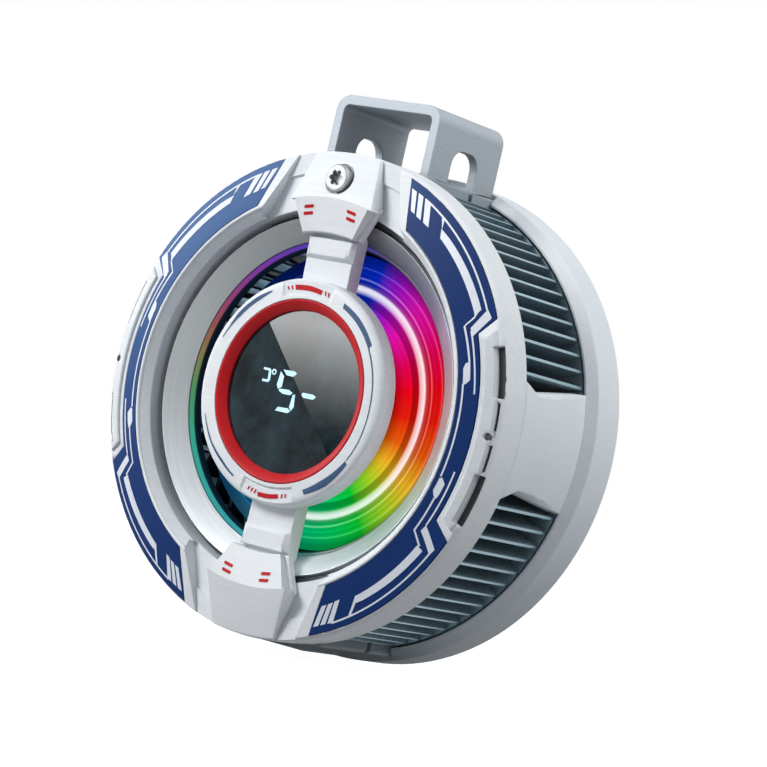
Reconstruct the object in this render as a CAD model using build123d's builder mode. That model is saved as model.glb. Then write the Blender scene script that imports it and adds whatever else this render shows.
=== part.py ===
from build123d import *
from math import asin, cos, degrees, radians, sin, sqrt
import os

# Thermoelectric phone cooler: a cold plate and magnet ring at the back, a radial fin heat sink with
# a blower inside it, and a domed front ring whose two arms carry a round temperature display.
# The cold face lies in the XZ plane at the origin. The fan's axis is Y, the front looks along -Y, and
# +Z is up. Depths are distances in front of the cold face, in millimetres.

# Clearances
slip = 0.1
hoop_play = 0.15
pin_play = 0.05
overrun = 2.0

# Depths of the layers, from the cold face to the front
rear_back_depth = 1.5
rear_panel_thickness = 1.8
cold_flange_thickness = 0.8
module_height = 3.2
sink_base_thickness = 1.8
motor_plate_thickness = 1.2
impeller_gap = 0.9
impeller_height = 12.3
deck_gap = 0.8
deck_thickness = 1.2
ring_wall_depth = 5.0

panel_top = rear_back_depth + rear_panel_thickness
flange_top = panel_top + cold_flange_thickness
sink_base_bottom = flange_top + module_height
sink_base_top = sink_base_bottom + sink_base_thickness
motor_plate_top = sink_base_top + motor_plate_thickness
impeller_bottom = motor_plate_top + impeller_gap
impeller_top = impeller_bottom + impeller_height
deck_back = impeller_top + deck_gap
ring_back = deck_back + deck_thickness
widest_depth = ring_back + ring_wall_depth

# Front ring: radii from its outside inwards, rises from its widest edge
front_ring_radius = 36.0
face_edge_width = 0.4
face_width = 6.3
lip_width = 0.6
groove_bevel_width = 1.1
groove_width = 1.1
face_edge_rise = 0.85
lip_rise = 2.3
lip_bead = 0.25
lip_inner_rise = 2.1
groove_rise = 0.9
ring_skin = 1.5
ring_inner_wall = 1.3

face_edge_radius = front_ring_radius - face_edge_width
lip_radius = face_edge_radius - face_width
lip_inner_radius = lip_radius - lip_width
groove_outer_radius = lip_inner_radius - groove_bevel_width
cone_outer_radius = groove_outer_radius - groove_width
face_slope = (lip_rise - face_edge_rise) / (face_edge_radius - lip_radius)

# Slotted side inserts, inside a row of slots
slot_setback = 0.25
slot_width = 0.5
insert_width = 1.95
insert_angle = 22.5
insert_end_angle = 1.5
insert_height = 0.45
insert_bevel = 0.25
insert_hole_width = 1.0
insert_hole_height = 0.9
insert_hole_angle = -0.7
deep_slot_depth = 1.2
shallow_slot_depth = 0.35
deep_slot_angles = ((8.5, 20.0), (-21.0, -9.6))
shallow_slot_angles = ((-0.6, 7.2), (-8.6, -2.4))

slot_outer_radius = front_ring_radius - slot_setback
slot_inner_radius = slot_outer_radius - slot_width
insert_outer_radius = slot_inner_radius - slip
insert_inner_radius = insert_outer_radius - insert_width

# Blue inlays: wide ends and a narrow waist
inlay_margin = 0.1
inlay_waist_gap = 0.8
inlay_waist_angle = 24.0
inlay_shoulder_angle = 26.5
inlay_inner_end_angle = 61.5
inlay_outer_end_angle = 70.5
inlay_pocket = 0.35
inlay_proud = 0.05

inlay_inner_radius = lip_radius + inlay_margin
inlay_outer_radius = face_edge_radius - inlay_margin
inlay_waist_radius = insert_inner_radius - inlay_waist_gap

# Recesses of the front ring beside the arms, up to the ends of the blue inlays
recess_rim_half = 8.9
recess_hub_half = 13.4
recess_hub_reach = 3.1
recess_floor_rise = 0.05
recess_step_rise = 0.45
recess_step_width = 3.5

recess_step_radius = lip_radius + recess_step_width
recess_floor = widest_depth + recess_floor_rise
recess_step = widest_depth + recess_step_rise

# Brushed cone, its gasket, the light ring and the deck that carries them
cone_width = 3.1
cone_rim_drop = 0.5
cone_edge_drop = 3.0
cone_wall = 1.0
cone_skirt = 1.2
gasket_top_drop = 2.2
light_inset = 0.8
light_lip_width = 0.7
light_lip_drop = 3.1
light_back_drop = 4.1
light_flange_gap = 0.2
light_flange_thickness = 0.5
deck_ledge = 1.1
deck_setback = 0.2

cone_inner_radius = cone_outer_radius - cone_width
light_inner_radius = cone_inner_radius - light_inset
light_flange_radius = cone_outer_radius - cone_skirt - light_flange_gap
deck_inner_radius = light_flange_radius - deck_ledge
cone_rim = widest_depth - cone_rim_drop
cone_edge = widest_depth - cone_edge_drop

# Pods over the ends of the arms
pod_rim_setback = 0.8
pod_length = 7.5
pod_nose_length = 4.5
pod_rim_half = 5.9
pod_rim_rise = 1.0
pod_ridge_half = 7.6
pod_ridge_rise = 2.95
pod_neck_half = 6.9
pod_low_half = 4.6
pod_low_rise = 2.1
pod_base_margin = 0.9
pod_base_rise = 1.2

pod_rim_height = front_ring_radius - pod_rim_setback
pod_ridge_height = pod_rim_height - pod_length
pod_low_height = pod_ridge_height - pod_nose_length

# Pod screw
screw_setback = 3.5
screw_head_radius = 2.05
screw_head_length = 2.0
screw_head_edge = 0.25
screw_front_rise = 3.1
screw_shank_radius = 1.0
screw_shank_length = 4.0
screw_socket_radius = 1.15
screw_socket_depth = 1.1
screw_lobe_radius = 0.38
screw_lobes = 6
screw_spot_gap = 0.3

screw_height = pod_rim_height - screw_setback

# Arms and hub
arm_half = 4.25
arm_front_rise = 0.25
arm_back_drop = 2.4
arm_lap = 0.9
arm_seat_drop = 1.0
step_gap = 0.25
step_length = 2.55
step_outer_half = 3.95
step_inner_half = 3.3
step_rise = 1.1
hub_radius = 16.7
hub_rear_drop = 0.5
hub_wall_rise = 1.9
hub_shoulder_width = 1.8
hub_round_rise = 2.85
hub_round_bulge = 0.35
hub_face_rise = 2.95
hub_neck_step = 2.1
hub_neck_drop = 3.0
hub_neck_wall = 2.0
hub_flat_angle = 33.0
hub_flat_depth = 0.25
hub_flat_width = 2.7
hub_back_thickness = 1.0

arm_reach = groove_outer_radius + arm_lap
step_outer_height = pod_low_height - step_gap
step_inner_height = step_outer_height - step_length
hub_round_radius = hub_radius - hub_shoulder_width
hub_neck_radius = hub_radius - hub_neck_step
hub_bore_radius = hub_neck_radius - hub_neck_wall
hub_flat_radius = hub_radius - hub_flat_width
hub_back_depth = widest_depth - hub_neck_drop

# Display
bezel_setback = 3.2
bezel_width = 1.5
bezel_outer_rise = 2.95
bezel_rim = 0.25
bezel_inner_rise = 2.0
lens_front_rise = 1.6
lens_thickness = 0.95
lens_setback = 0.2
digit_width = 16.0
digit_height = 9.0
digit_thickness = 1.3
display_board_thickness = 0.8
display_board_gap = 0.2

bezel_outer_radius = hub_radius - bezel_setback
bezel_inner_radius = bezel_outer_radius - bezel_width
lens_radius = bezel_outer_radius - lens_setback
lens_front = widest_depth + lens_front_rise
lens_back = lens_front - lens_thickness
display_board_radius = hub_bore_radius - display_board_gap

# Ring light behind the hub
led_board_width = 6.0
led_board_setback = 1.6
led_board_thickness = 0.6
led_count = 12
led_size = 1.5
led_height = 0.5
led_setback = 1.5

led_board_radius = hub_neck_radius - led_board_setback
led_board_inner_radius = led_board_radius - led_board_width
led_circle_radius = led_board_radius - led_setback

# Heat sink
fin_setback = 1.0
fin_gap = 1.5
fin_thickness = 0.5
fin_count = 90

fin_outer_radius = front_ring_radius - fin_setback
fin_inner_radius = cone_outer_radius + fin_gap
deck_outer_radius = fin_outer_radius - deck_setback

# Rear shell
rear_ring_step = 1.1
rear_wall = 1.7
rear_bevel_width = 1.4
rear_bevel_depth = 1.3
rear_rim_cover = 0.2
rear_corner = 0.8
shell_boss_setback = 3.9
shell_boss_radius = 2.2
shell_boss_angles = (45.0, 135.0, 225.0, 315.0)
shell_screw_radius = 0.9
shell_screw_head_radius = 1.7
shell_screw_head_length = 1.1

rear_ring_radius = front_ring_radius + rear_ring_step
rear_wall_radius = rear_ring_radius - rear_wall
rear_rim_radius = rear_ring_radius - rear_bevel_width
rear_rim_depth = sink_base_top + rear_rim_cover
rear_side_depth = rear_rim_depth - rear_bevel_depth
shell_boss_circle = rear_wall_radius - shell_boss_setback
screw_seat = rear_back_depth + shell_screw_head_length + slip

# Cold side, inside the ring of bosses
insulation_gap = 1.3
magnet_inset = 0.8
magnet_width = 3.9
magnet_skin = 0.6
magnet_count = 18
magnet_gap_angle = 2.0
insulation_lap = 0.1
cold_flange_gap = 0.6
cold_ledge = 1.8
cold_plate_gap = 0.3
module_corner_gap = 1.4
module_plate = 0.8
module_margin = 2.4
pellet_gap = 2.0
pellets_a_side = 6
pad_inner_margin = 0.8
pad_outer_margin = 1.4
pad_thickness = 1.1

insulation_outer_radius = shell_boss_circle - shell_boss_radius - insulation_gap
magnet_outer_radius = insulation_outer_radius - magnet_inset
magnet_inner_radius = magnet_outer_radius - magnet_width
magnet_bottom = rear_back_depth + magnet_skin
magnet_thickness = panel_top - magnet_bottom
insulation_inner_radius = magnet_inner_radius - insulation_lap
cold_flange_radius = insulation_inner_radius - cold_flange_gap
rear_opening_radius = cold_flange_radius - cold_ledge
cold_plate_radius = rear_opening_radius - cold_plate_gap
module_side = (cold_flange_radius - module_corner_gap) * sqrt(2)
pellet_pitch = (module_side - module_margin) / pellets_a_side
pellet_side = pellet_pitch - pellet_gap
pellet_height = module_height - 2 * module_plate

# Blower
blower_gap = 2.0
blade_length = 4.1
blade_thickness = 0.6
blade_lean = 7.0
blade_bulge = 0.5
blade_count = 33
impeller_plate = 1.0
impeller_hub_gap = 0.1
impeller_hub_wall = 0.9
impeller_cap = 1.1
shroud_width = 1.2
shroud_thickness = 0.6
light_disc_gap = 0.5
light_disc_proud = 0.5
light_disc_thickness = 0.9
light_ridge_margin = 0.5
light_ridges = 7
light_ridge_height = 0.5

blade_tip_radius = fin_inner_radius - blower_gap
blade_root_radius = blade_tip_radius - blade_length
light_disc_radius = blade_root_radius - light_disc_gap
light_disc_front = impeller_top + light_disc_proud

# Motor
cup_radius = 11.9
cup_wall = 0.7
cup_skirt_gap = 1.8
cup_drop = 2.7
rotor_magnet_wall = 0.9
rotor_magnet_drop = 0.9
rotor_magnet_setback = 0.3
air_gap = 0.35
stator_teeth = 6
stator_lift = 1.6
stator_ring_wall = 1.45
stator_tooth_width = 2.2
stator_shoe_thickness = 1.0
stator_shoe_angle = 44.0
coil_thickness = 0.9
coil_setback = 0.3
coil_top_gap = 0.7
bearing_tube_wall = 1.05
bearing_radius = 3.0
bearing_length = 2.5
rear_bearing_lift = 0.7
front_bearing_drop = 0.7
shaft_radius = 1.0
shaft_lift = 0.2
motor_plate_inset = 2.4
clip_radius = 1.7
clip_thickness = 0.3
clip_lift = 0.3
clip_groove = 0.25

cup_top = light_disc_front - cup_drop
cup_bottom = impeller_bottom + cup_skirt_gap
stator_bottom = cup_bottom + stator_lift
stator_length = cup_top - cup_wall - coil_top_gap - coil_thickness - stator_bottom
bearing_tube_radius = bearing_radius + pin_play + bearing_tube_wall
stator_core_radius = bearing_tube_radius + pin_play + stator_ring_wall
rear_bearing_bottom = motor_plate_top + rear_bearing_lift
front_bearing_bottom = cup_top - cup_wall - front_bearing_drop - bearing_length
shaft_bottom = motor_plate_top + shaft_lift
clip_bottom = motor_plate_top + clip_lift
motor_plate_radius = cup_radius - motor_plate_inset

# Pillars between the rings
pillar_thickness = 2.6
pillar_front_half = 8.6
pillar_waist_half = 7.1
pillar_rear_half = 8.8
pillar_front_crest = 8.1
pillar_waist_crest = 6.6
pillar_rear_crest = 5.0
pillar_flare_length = 3.4
pillar_facet_drop = 1.4

pillar_inner_radius = front_ring_radius - pillar_thickness
pillar_pocket_radius = pillar_inner_radius - slip
pillar_sector_angle = degrees(asin((pillar_rear_half + slip) / pillar_pocket_radius))

# Hoop and its guide blocks
hoop_half = 9.7
hoop_reach = 10.2
hoop_grip = 3.6
hoop_travel = 2.5
hoop_front_setback = 0.5
hoop_floor_gap = 0.3
hoop_sheet = 1.5
hoop_bend = 2.4
hoop_front_strip = 5.1
hoop_rear_strip = 5.2
hoop_slot_corner = 2.4
guide_setback = 0.9
guide_wall = 0.45
guide_inset = 0.6
guide_floor = 0.5
guide_lap = 0.5
guide_gap = 0.9
guide_bevel = 0.5
guide_pocket_margin = 0.3
block_lip_half = 7.0
block_lip_height = 1.2
block_lip_setback = 2.2

guide_top_height = front_ring_radius - guide_setback
guide_half = hoop_half + hoop_play + guide_wall
guide_inner_radius = fin_inner_radius - guide_inset
guide_floor_depth = sink_base_bottom + guide_floor
hoop_top_height = guide_top_height + hoop_reach
hoop_foot_height = guide_top_height - hoop_grip
hoop_slot_top = guide_top_height + hoop_travel + hoop_slot_corner + slip
hoop_front = ring_back - hoop_front_setback
hoop_back = guide_floor_depth + hoop_floor_gap
slot_front = hoop_front - hoop_front_strip
slot_rear = hoop_back + hoop_rear_strip
rear_block_depth = slot_rear + guide_lap
front_block_depth = rear_block_depth + guide_gap

# Socket and electronics
socket_width = 8.94
socket_height = 3.26
socket_length = 7.3
socket_wall = 0.3
socket_tongue_width = 6.7
socket_tongue_height = 0.7
socket_setback = 0.2
socket_tongue_setback = 0.8
board_inner_gap = 0.8
board_outer_gap = 0.5
board_start_angle = 150.0
board_end_angle = 210.0
board_thickness = 1.0
chip_side = 3.4
chip_height = 0.9
chip_shares = (0.12, 0.3, 0.52, 0.74, 0.9)

socket_depth = (ring_back + rear_rim_depth) / 2
board_inner_radius = insulation_outer_radius + board_inner_gap
board_outer_radius = rear_wall_radius - board_outer_gap

SECTION = Plane(origin=(0, 0, 0), x_dir=(1, 0, 0), z_dir=(0, 0, -1))
SIDE = Plane(origin=(0, 0, 0), x_dir=(0, 0, 1), z_dir=(1, 0, 0))

os.makedirs("parts", exist_ok=True)


def save(piece, name):
    """Label a finished piece and write it under its name."""
    piece.part.label = name
    export_step(piece.part, f"parts/{name}.step")


def facing(depth):
    """Plane square to the fan's axis, seen from the front, at a depth."""
    return Plane(origin=(0, -depth, 0), x_dir=(1, 0, 0), z_dir=(0, -1, 0))


def polar(radius, angle):
    """Point in the front view at a radius and an angle in degrees from +X."""
    return (radius * cos(radians(angle)), radius * sin(radians(angle)))


def mirrored(points):
    """Right half of a front view outline, given from the top down, closed by its mirror image."""
    return [*points, *[(-x, y) for x, y in reversed(points)]]


def section(*points):
    """Outline in the half plane through the axis, as (radius, depth) corners."""
    with BuildSketch(SECTION) as drawn:
        with BuildLine():
            Polyline(*points, close=True)
        make_face()
    return drawn.sketch


def side_view(*points):
    """Outline in the plane of symmetry, as (height, depth) corners."""
    with BuildSketch(SIDE) as drawn:
        with BuildLine():
            Polyline(*points, close=True)
        make_face()
    return drawn.sketch


def front_view(depth, points):
    """Straight-sided outline in the front view, at a depth."""
    with BuildSketch(facing(depth)) as drawn:
        with BuildLine():
            Polyline(*points, close=True)
        make_face()
    return drawn.sketch


def washer(depth, outer, inner):
    """Flat ring in the front view, at a depth."""
    with BuildSketch(facing(depth)) as drawn:
        Circle(outer)
        Circle(inner, mode=Mode.SUBTRACT)
    return drawn.sketch


def sector(depth, inner, outer, start, end):
    """Segment of a ring in the front view, between two radii and two angles."""
    middle = (start + end) / 2
    with BuildSketch(facing(depth)) as drawn:
        with BuildLine():
            ThreePointArc(polar(outer, start), polar(outer, middle), polar(outer, end))
            Line(polar(outer, end), polar(inner, end))
            ThreePointArc(polar(inner, end), polar(inner, middle), polar(inner, start))
            Line(polar(inner, start), polar(outer, start))
        make_face()
    return drawn.sketch


def face_depth(radius):
    """Depth of the front ring's conical face at a radius."""
    return widest_depth + lip_rise - (radius - lip_radius) * face_slope


# Outlines that several pieces share

def recess_corners(height_sign):
    """Recess beside an arm: wide towards the hub, narrow at the rim."""
    right = [
        (recess_rim_half, height_sign * (front_ring_radius + overrun)),
        (recess_rim_half, height_sign * front_ring_radius),
        (recess_hub_half, height_sign * (groove_outer_radius - recess_hub_reach)),
    ]
    return mirrored(right)


def pod_corners(height_sign, margin=0):
    """Outline of a pod, widest at its ridge, with a margin all round."""
    right = [
        (pod_rim_half + margin, height_sign * (pod_rim_height + margin)),
        (pod_ridge_half + margin, height_sign * pod_ridge_height),
        (pod_neck_half + margin, height_sign * pod_ridge_height),
        (pod_low_half + margin, height_sign * (pod_low_height - margin)),
    ]
    return mirrored(right)


def pod_foot_corners(height_sign, margin=0):
    """Outline of the wider foot round the inner half of a pod."""
    edge = pod_base_margin + margin
    right = [
        (pod_ridge_half, height_sign * (pod_ridge_height + edge)),
        (pod_neck_half + edge, height_sign * pod_ridge_height),
        (pod_low_half + edge, height_sign * (pod_low_height - margin)),
    ]
    return mirrored(right)


def inlay_outline(depth, margin=0):
    """Right inlay in the front view, grown by a margin."""
    inner = inlay_inner_radius - margin
    outer = inlay_outer_radius + margin
    waist = inlay_waist_radius + margin
    inner_end = inlay_inner_end_angle + degrees(margin / inner)
    outer_end = inlay_outer_end_angle + degrees(margin / outer)
    with BuildSketch(facing(depth)) as drawn:
        with BuildLine():
            ThreePointArc(polar(inner, -inner_end), (inner, 0), polar(inner, inner_end))
            for sign in (1, -1):
                bend = (outer_end + inlay_shoulder_angle) / 2
                Line(polar(inner, sign * inner_end), polar(outer, sign * outer_end))
                ThreePointArc(
                    polar(outer, sign * outer_end),
                    polar(outer, sign * bend),
                    polar(outer, sign * inlay_shoulder_angle),
                )
                Line(polar(outer, sign * inlay_shoulder_angle), polar(waist, sign * inlay_waist_angle))
            ThreePointArc(polar(waist, -inlay_waist_angle), (waist, 0), polar(waist, inlay_waist_angle))
        make_face()
    return drawn.sketch


def face_strip(below, above, inner, outer):
    """Strip that follows the conical face, from below it to above it."""
    return section(
        (inner, face_depth(inner) - below),
        (outer, face_depth(outer) - below),
        (outer, face_depth(outer) + above),
        (inner, face_depth(inner) + above),
    )


with BuildPart() as inlay_pocket_tool:
    revolve(face_strip(inlay_pocket, overrun, lip_inner_radius, front_ring_radius), axis=Axis.Y)
    extrude(inlay_outline(ring_back, slip), amount=widest_depth, mode=Mode.INTERSECT)

with BuildPart() as side_slots_tool:
    for angles, depth in ((deep_slot_angles, deep_slot_depth), (shallow_slot_angles, shallow_slot_depth)):
        floor = face_depth(face_edge_radius) - depth
        for start, end in angles:
            cut = sector(floor, slot_inner_radius, slot_outer_radius, start, end)
            extrude(cut, amount=2 * overrun)

# Front ring: a domed moulding, open at the back, with pockets for its trim

with BuildPart() as front_ring:
    with BuildSketch(SECTION) as ring_profile:
        with BuildLine():
            wall_top = widest_depth - face_edge_rise / 2
            face_edge = (face_edge_radius, face_depth(face_edge_radius))
            Line((front_ring_radius, ring_back), (front_ring_radius, wall_top))
            TangentArc((front_ring_radius, wall_top), face_edge, tangent=(0, 1))
            Line(face_edge, (lip_radius, widest_depth + lip_rise))
            ThreePointArc(
                (lip_radius, widest_depth + lip_rise),
                ((lip_radius + lip_inner_radius) / 2, widest_depth + lip_rise + lip_bead / 2),
                (lip_inner_radius, widest_depth + lip_inner_rise),
            )
            inner_wall_radius = groove_outer_radius + ring_inner_wall
            cavity_radius = front_ring_radius - ring_skin
            Polyline(
                (lip_inner_radius, widest_depth + lip_inner_rise),
                (groove_outer_radius, widest_depth + groove_rise),
                (groove_outer_radius, ring_back),
                (inner_wall_radius, ring_back),
                (inner_wall_radius, recess_floor - ring_skin),
                (cavity_radius, recess_floor - ring_skin),
                (cavity_radius, ring_back),
                (front_ring_radius, ring_back),
            )
        make_face()
    revolve(axis=Axis.Y)
    for height_sign in (1, -1):
        recess = recess_corners(height_sign)
        extrude(front_view(recess_step, recess), amount=2 * overrun, mode=Mode.SUBTRACT)
        with BuildSketch(facing(recess_floor)):
            with BuildLine():
                Polyline(*recess, close=True)
            make_face()
            Circle(recess_step_radius, mode=Mode.INTERSECT)
        extrude(amount=2 * overrun, mode=Mode.SUBTRACT)
        seat = front_view(recess_floor, pod_corners(height_sign, slip))
        extrude(seat, amount=2 * overrun, mode=Mode.SUBTRACT)
        notch_middle = height_sign * (arm_reach + groove_outer_radius) / 2
        with BuildSketch(facing(recess_floor - arm_seat_drop)):
            with Locations((0, notch_middle)):
                Rectangle(2 * (arm_half + slip), arm_reach - groove_outer_radius + overrun)
        extrude(amount=overrun, mode=Mode.SUBTRACT)
    add(inlay_pocket_tool.part, mode=Mode.SUBTRACT)
    add(inlay_pocket_tool.part.mirror(Plane.YZ), mode=Mode.SUBTRACT)
    add(side_slots_tool.part, mode=Mode.SUBTRACT)
    add(side_slots_tool.part.mirror(Plane.YZ), mode=Mode.SUBTRACT)
    with BuildSketch(facing(ring_back)):
        with Locations((0, screw_height)):
            Circle(screw_shank_radius + slip)
    extrude(amount=widest_depth, mode=Mode.SUBTRACT)
save(front_ring, "front_ring")

# Blue inlays let into the conical face

with BuildPart() as right_inlay:
    depth_below = inlay_pocket - inlay_proud
    revolve(face_strip(depth_below, inlay_proud, lip_inner_radius, front_ring_radius), axis=Axis.Y)
    extrude(inlay_outline(ring_back), amount=widest_depth, mode=Mode.INTERSECT)
save(right_inlay, "right_inlay")

with BuildPart() as left_inlay:
    add(right_inlay.part.mirror(Plane.YZ))
save(left_inlay, "left_inlay")

# Slotted arcs on the sides of the front ring, bevelled towards the outside

with BuildPart() as right_side_insert:
    outer_top = face_depth(insert_outer_radius) + insert_height - insert_bevel
    profile = section(
        (insert_inner_radius, face_depth(insert_inner_radius)),
        (insert_outer_radius, face_depth(insert_outer_radius)),
        (insert_outer_radius, outer_top),
        (insert_outer_radius - insert_bevel, face_depth(insert_outer_radius) + insert_height),
        (insert_inner_radius + insert_bevel, face_depth(insert_inner_radius) + insert_height),
        (insert_inner_radius, face_depth(insert_inner_radius) + insert_height - insert_bevel),
    )
    revolve(profile, axis=Axis.Y)
    with BuildSketch(facing(ring_back)):
        with BuildLine():
            low = insert_inner_radius - slip
            high = insert_outer_radius + slip
            wide = insert_angle + insert_end_angle
            ThreePointArc(polar(low, -insert_angle), (low, 0), polar(low, insert_angle))
            Line(polar(low, insert_angle), polar(high, wide))
            ThreePointArc(polar(high, wide), (high, 0), polar(high, -wide))
            Line(polar(high, -wide), polar(low, -insert_angle))
        make_face()
    extrude(amount=widest_depth, mode=Mode.INTERSECT)
    with BuildSketch(facing(ring_back)):
        hole_radius = (insert_inner_radius + insert_outer_radius) / 2
        with Locations(polar(hole_radius, insert_hole_angle)):
            RectangleRounded(insert_hole_width, insert_hole_height, insert_bevel)
    extrude(amount=widest_depth, mode=Mode.SUBTRACT)
save(right_side_insert, "right_side_insert")

with BuildPart() as left_side_insert:
    add(right_side_insert.part.mirror(Plane.YZ))
save(left_side_insert, "left_side_insert")

# Brushed cone: a turned ring on a skirt

with BuildPart() as brushed_cone:
    cone_slope = (cone_rim - cone_edge) / (cone_outer_radius - cone_inner_radius)
    skirt_radius = cone_outer_radius - cone_skirt
    under_skirt = cone_edge + (skirt_radius - cone_inner_radius) * cone_slope - cone_wall
    cone_section = section(
        (cone_outer_radius, ring_back),
        (cone_outer_radius, cone_rim),
        (cone_inner_radius, cone_edge),
        (cone_inner_radius, cone_edge - cone_wall),
        (skirt_radius, under_skirt),
        (skirt_radius, ring_back),
    )
    revolve(cone_section, axis=Axis.Y)
save(brushed_cone, "brushed_cone")

with BuildPart() as groove_gasket:
    outer = groove_outer_radius - slip
    inner = cone_outer_radius + slip
    extrude(washer(ring_back, outer, inner), amount=widest_depth - gasket_top_drop - ring_back)
save(groove_gasket, "groove_gasket")

# Clear ring whose chamfered lip shows at the cone's inner edge

with BuildPart() as light_guide_ring:
    light_section = section(
        (light_inner_radius, ring_back),
        (light_flange_radius, ring_back),
        (light_flange_radius, ring_back + light_flange_thickness),
        (light_inner_radius + light_lip_width, ring_back + light_flange_thickness),
        (light_inner_radius + light_lip_width, widest_depth - light_lip_drop),
        (light_inner_radius, widest_depth - light_back_drop),
    )
    revolve(light_section, axis=Axis.Y)
save(light_guide_ring, "light_guide_ring")

# Pods: roof-shaped covers on a slightly wider foot


with BuildPart() as bottom_pod:
    ridge = widest_depth + pod_ridge_rise
    low = widest_depth + pod_low_rise
    roof = side_view(
        (-pod_low_height, recess_floor),
        (-pod_low_height, low),
        (-pod_ridge_height, ridge),
        (-pod_rim_height, widest_depth + pod_rim_rise),
        (-pod_rim_height, recess_floor),
    )
    extrude(roof, amount=pod_ridge_half, both=True)
    extrude(front_view(ring_back, pod_corners(-1)), amount=widest_depth, mode=Mode.INTERSECT)
    foot = front_view(recess_floor, pod_foot_corners(-1))
    extrude(foot, amount=pod_base_rise - recess_floor_rise)
save(bottom_pod, "bottom_pod")

with BuildPart() as top_pod:
    add(bottom_pod.part.mirror(Plane.XY))
    spot_depth = widest_depth + screw_front_rise - screw_head_length
    with BuildSketch(facing(spot_depth)):
        with Locations((0, screw_height)):
            Circle(screw_head_radius + screw_spot_gap)
    extrude(amount=2 * overrun, mode=Mode.SUBTRACT)
    with BuildSketch(facing(ring_back)):
        with Locations((0, screw_height)):
            Circle(screw_shank_radius + slip)
    extrude(amount=widest_depth, mode=Mode.SUBTRACT)
save(top_pod, "top_pod")

# Screw with a six-lobe socket in a tall round head

with BuildPart() as pod_screw:
    head_front = widest_depth + screw_front_rise
    with BuildSketch(facing(head_front)):
        with Locations((0, screw_height)):
            Circle(screw_head_radius)
    extrude(amount=-screw_head_length)
    chamfer(pod_screw.faces().sort_by(Axis.Y)[0].edges(), screw_head_edge)
    with BuildSketch(facing(head_front)):
        with Locations((0, screw_height)):
            Circle(screw_socket_radius - screw_lobe_radius)
            with PolarLocations(screw_socket_radius - screw_lobe_radius, screw_lobes):
                Circle(screw_lobe_radius)
    extrude(amount=-screw_socket_depth, mode=Mode.SUBTRACT)
    with BuildSketch(facing(head_front - screw_head_length)):
        with Locations((0, screw_height)):
            Circle(screw_shank_radius)
    extrude(amount=-screw_shank_length)
save(pod_screw, "pod_screw")

# Bridge: two stepped arms and the round housing of the display in one moulding

with BuildPart() as hub_bridge:
    arm_front = widest_depth + arm_front_rise
    arm_back = widest_depth - arm_back_drop
    for height_sign in (1, -1):
        arm_side = side_view(
            (height_sign * hub_neck_radius, arm_back),
            (height_sign * hub_neck_radius, arm_front),
            (height_sign * step_outer_height, arm_front),
            (height_sign * step_outer_height, recess_floor),
            (height_sign * arm_reach, recess_floor),
            (height_sign * arm_reach, recess_floor - arm_seat_drop),
            (height_sign * groove_outer_radius, arm_back),
        )
        extrude(arm_side, amount=arm_half, both=True)
        step_foot = [
            (step_outer_half + step_rise / 2, height_sign * step_outer_height),
            (step_inner_half + step_rise, height_sign * (step_inner_height - step_rise / 2)),
        ]
        step_top = [
            (step_outer_half, height_sign * step_outer_height),
            (step_inner_half, height_sign * step_inner_height),
        ]
        step_base = front_view(arm_front, mirrored(step_foot))
        step_crown = front_view(widest_depth + step_rise, mirrored(step_top))
        loft([step_base.face(), step_crown.face()])
    cone_grown = section(
        (cone_inner_radius - slip, 0),
        (cone_inner_radius - slip, cone_edge + slip),
        (cone_outer_radius + slip, cone_rim + slip),
        (cone_outer_radius + slip, recess_floor - arm_seat_drop),
        (front_ring_radius, recess_floor - arm_seat_drop),
        (front_ring_radius, 0),
    )
    revolve(cone_grown, axis=Axis.Y, mode=Mode.SUBTRACT)
    with BuildSketch(SECTION) as hub_profile:
        with BuildLine():
            wall = (hub_radius, widest_depth + hub_wall_rise)
            shoulder = (hub_round_radius, widest_depth + hub_round_rise)
            bulge = (
                (hub_radius + hub_round_radius) / 2 + hub_round_bulge,
                (wall[1] + shoulder[1]) / 2 + hub_round_bulge,
            )
            ThreePointArc(wall, bulge, shoulder)
            Polyline(
                shoulder,
                (bezel_outer_radius + slip, widest_depth + hub_face_rise),
                (bezel_outer_radius + slip, lens_back),
                (hub_bore_radius, lens_back),
                (hub_bore_radius, hub_back_depth),
                (hub_neck_radius, hub_back_depth),
                (hub_neck_radius, widest_depth - hub_rear_drop),
                (hub_radius, widest_depth - hub_rear_drop),
                wall,
            )
        make_face()
    revolve(axis=Axis.Y)
    for height_sign in (1, -1):
        start = height_sign * 90 - hub_flat_angle
        end = height_sign * 90 + hub_flat_angle
        floor = widest_depth + hub_round_rise - hub_flat_depth
        flat = sector(floor, hub_flat_radius, hub_radius + overrun, start, end)
        extrude(flat, amount=overrun, mode=Mode.SUBTRACT)
    with BuildSketch(facing(hub_back_depth)):
        Circle(hub_bore_radius)
    extrude(amount=lens_back - hub_back_depth, mode=Mode.SUBTRACT)
save(hub_bridge, "hub_bridge")

# Display: bezel, window, digits, board and back cover

with BuildPart() as red_bezel:
    bezel_section = section(
        (bezel_inner_radius, lens_front),
        (bezel_outer_radius, lens_front),
        (bezel_outer_radius, widest_depth + bezel_outer_rise),
        (bezel_outer_radius - bezel_rim, widest_depth + bezel_outer_rise),
        (bezel_inner_radius, widest_depth + bezel_inner_rise),
    )
    revolve(bezel_section, axis=Axis.Y)
save(red_bezel, "red_bezel")

with BuildPart() as display_lens:
    with BuildSketch(facing(lens_back)):
        Circle(lens_radius)
    extrude(amount=lens_thickness)
save(display_lens, "display_lens")

with BuildPart() as digit_module:
    with BuildSketch(facing(lens_back)):
        Rectangle(digit_width, digit_height)
    extrude(amount=-digit_thickness)
save(digit_module, "digit_module")

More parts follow.
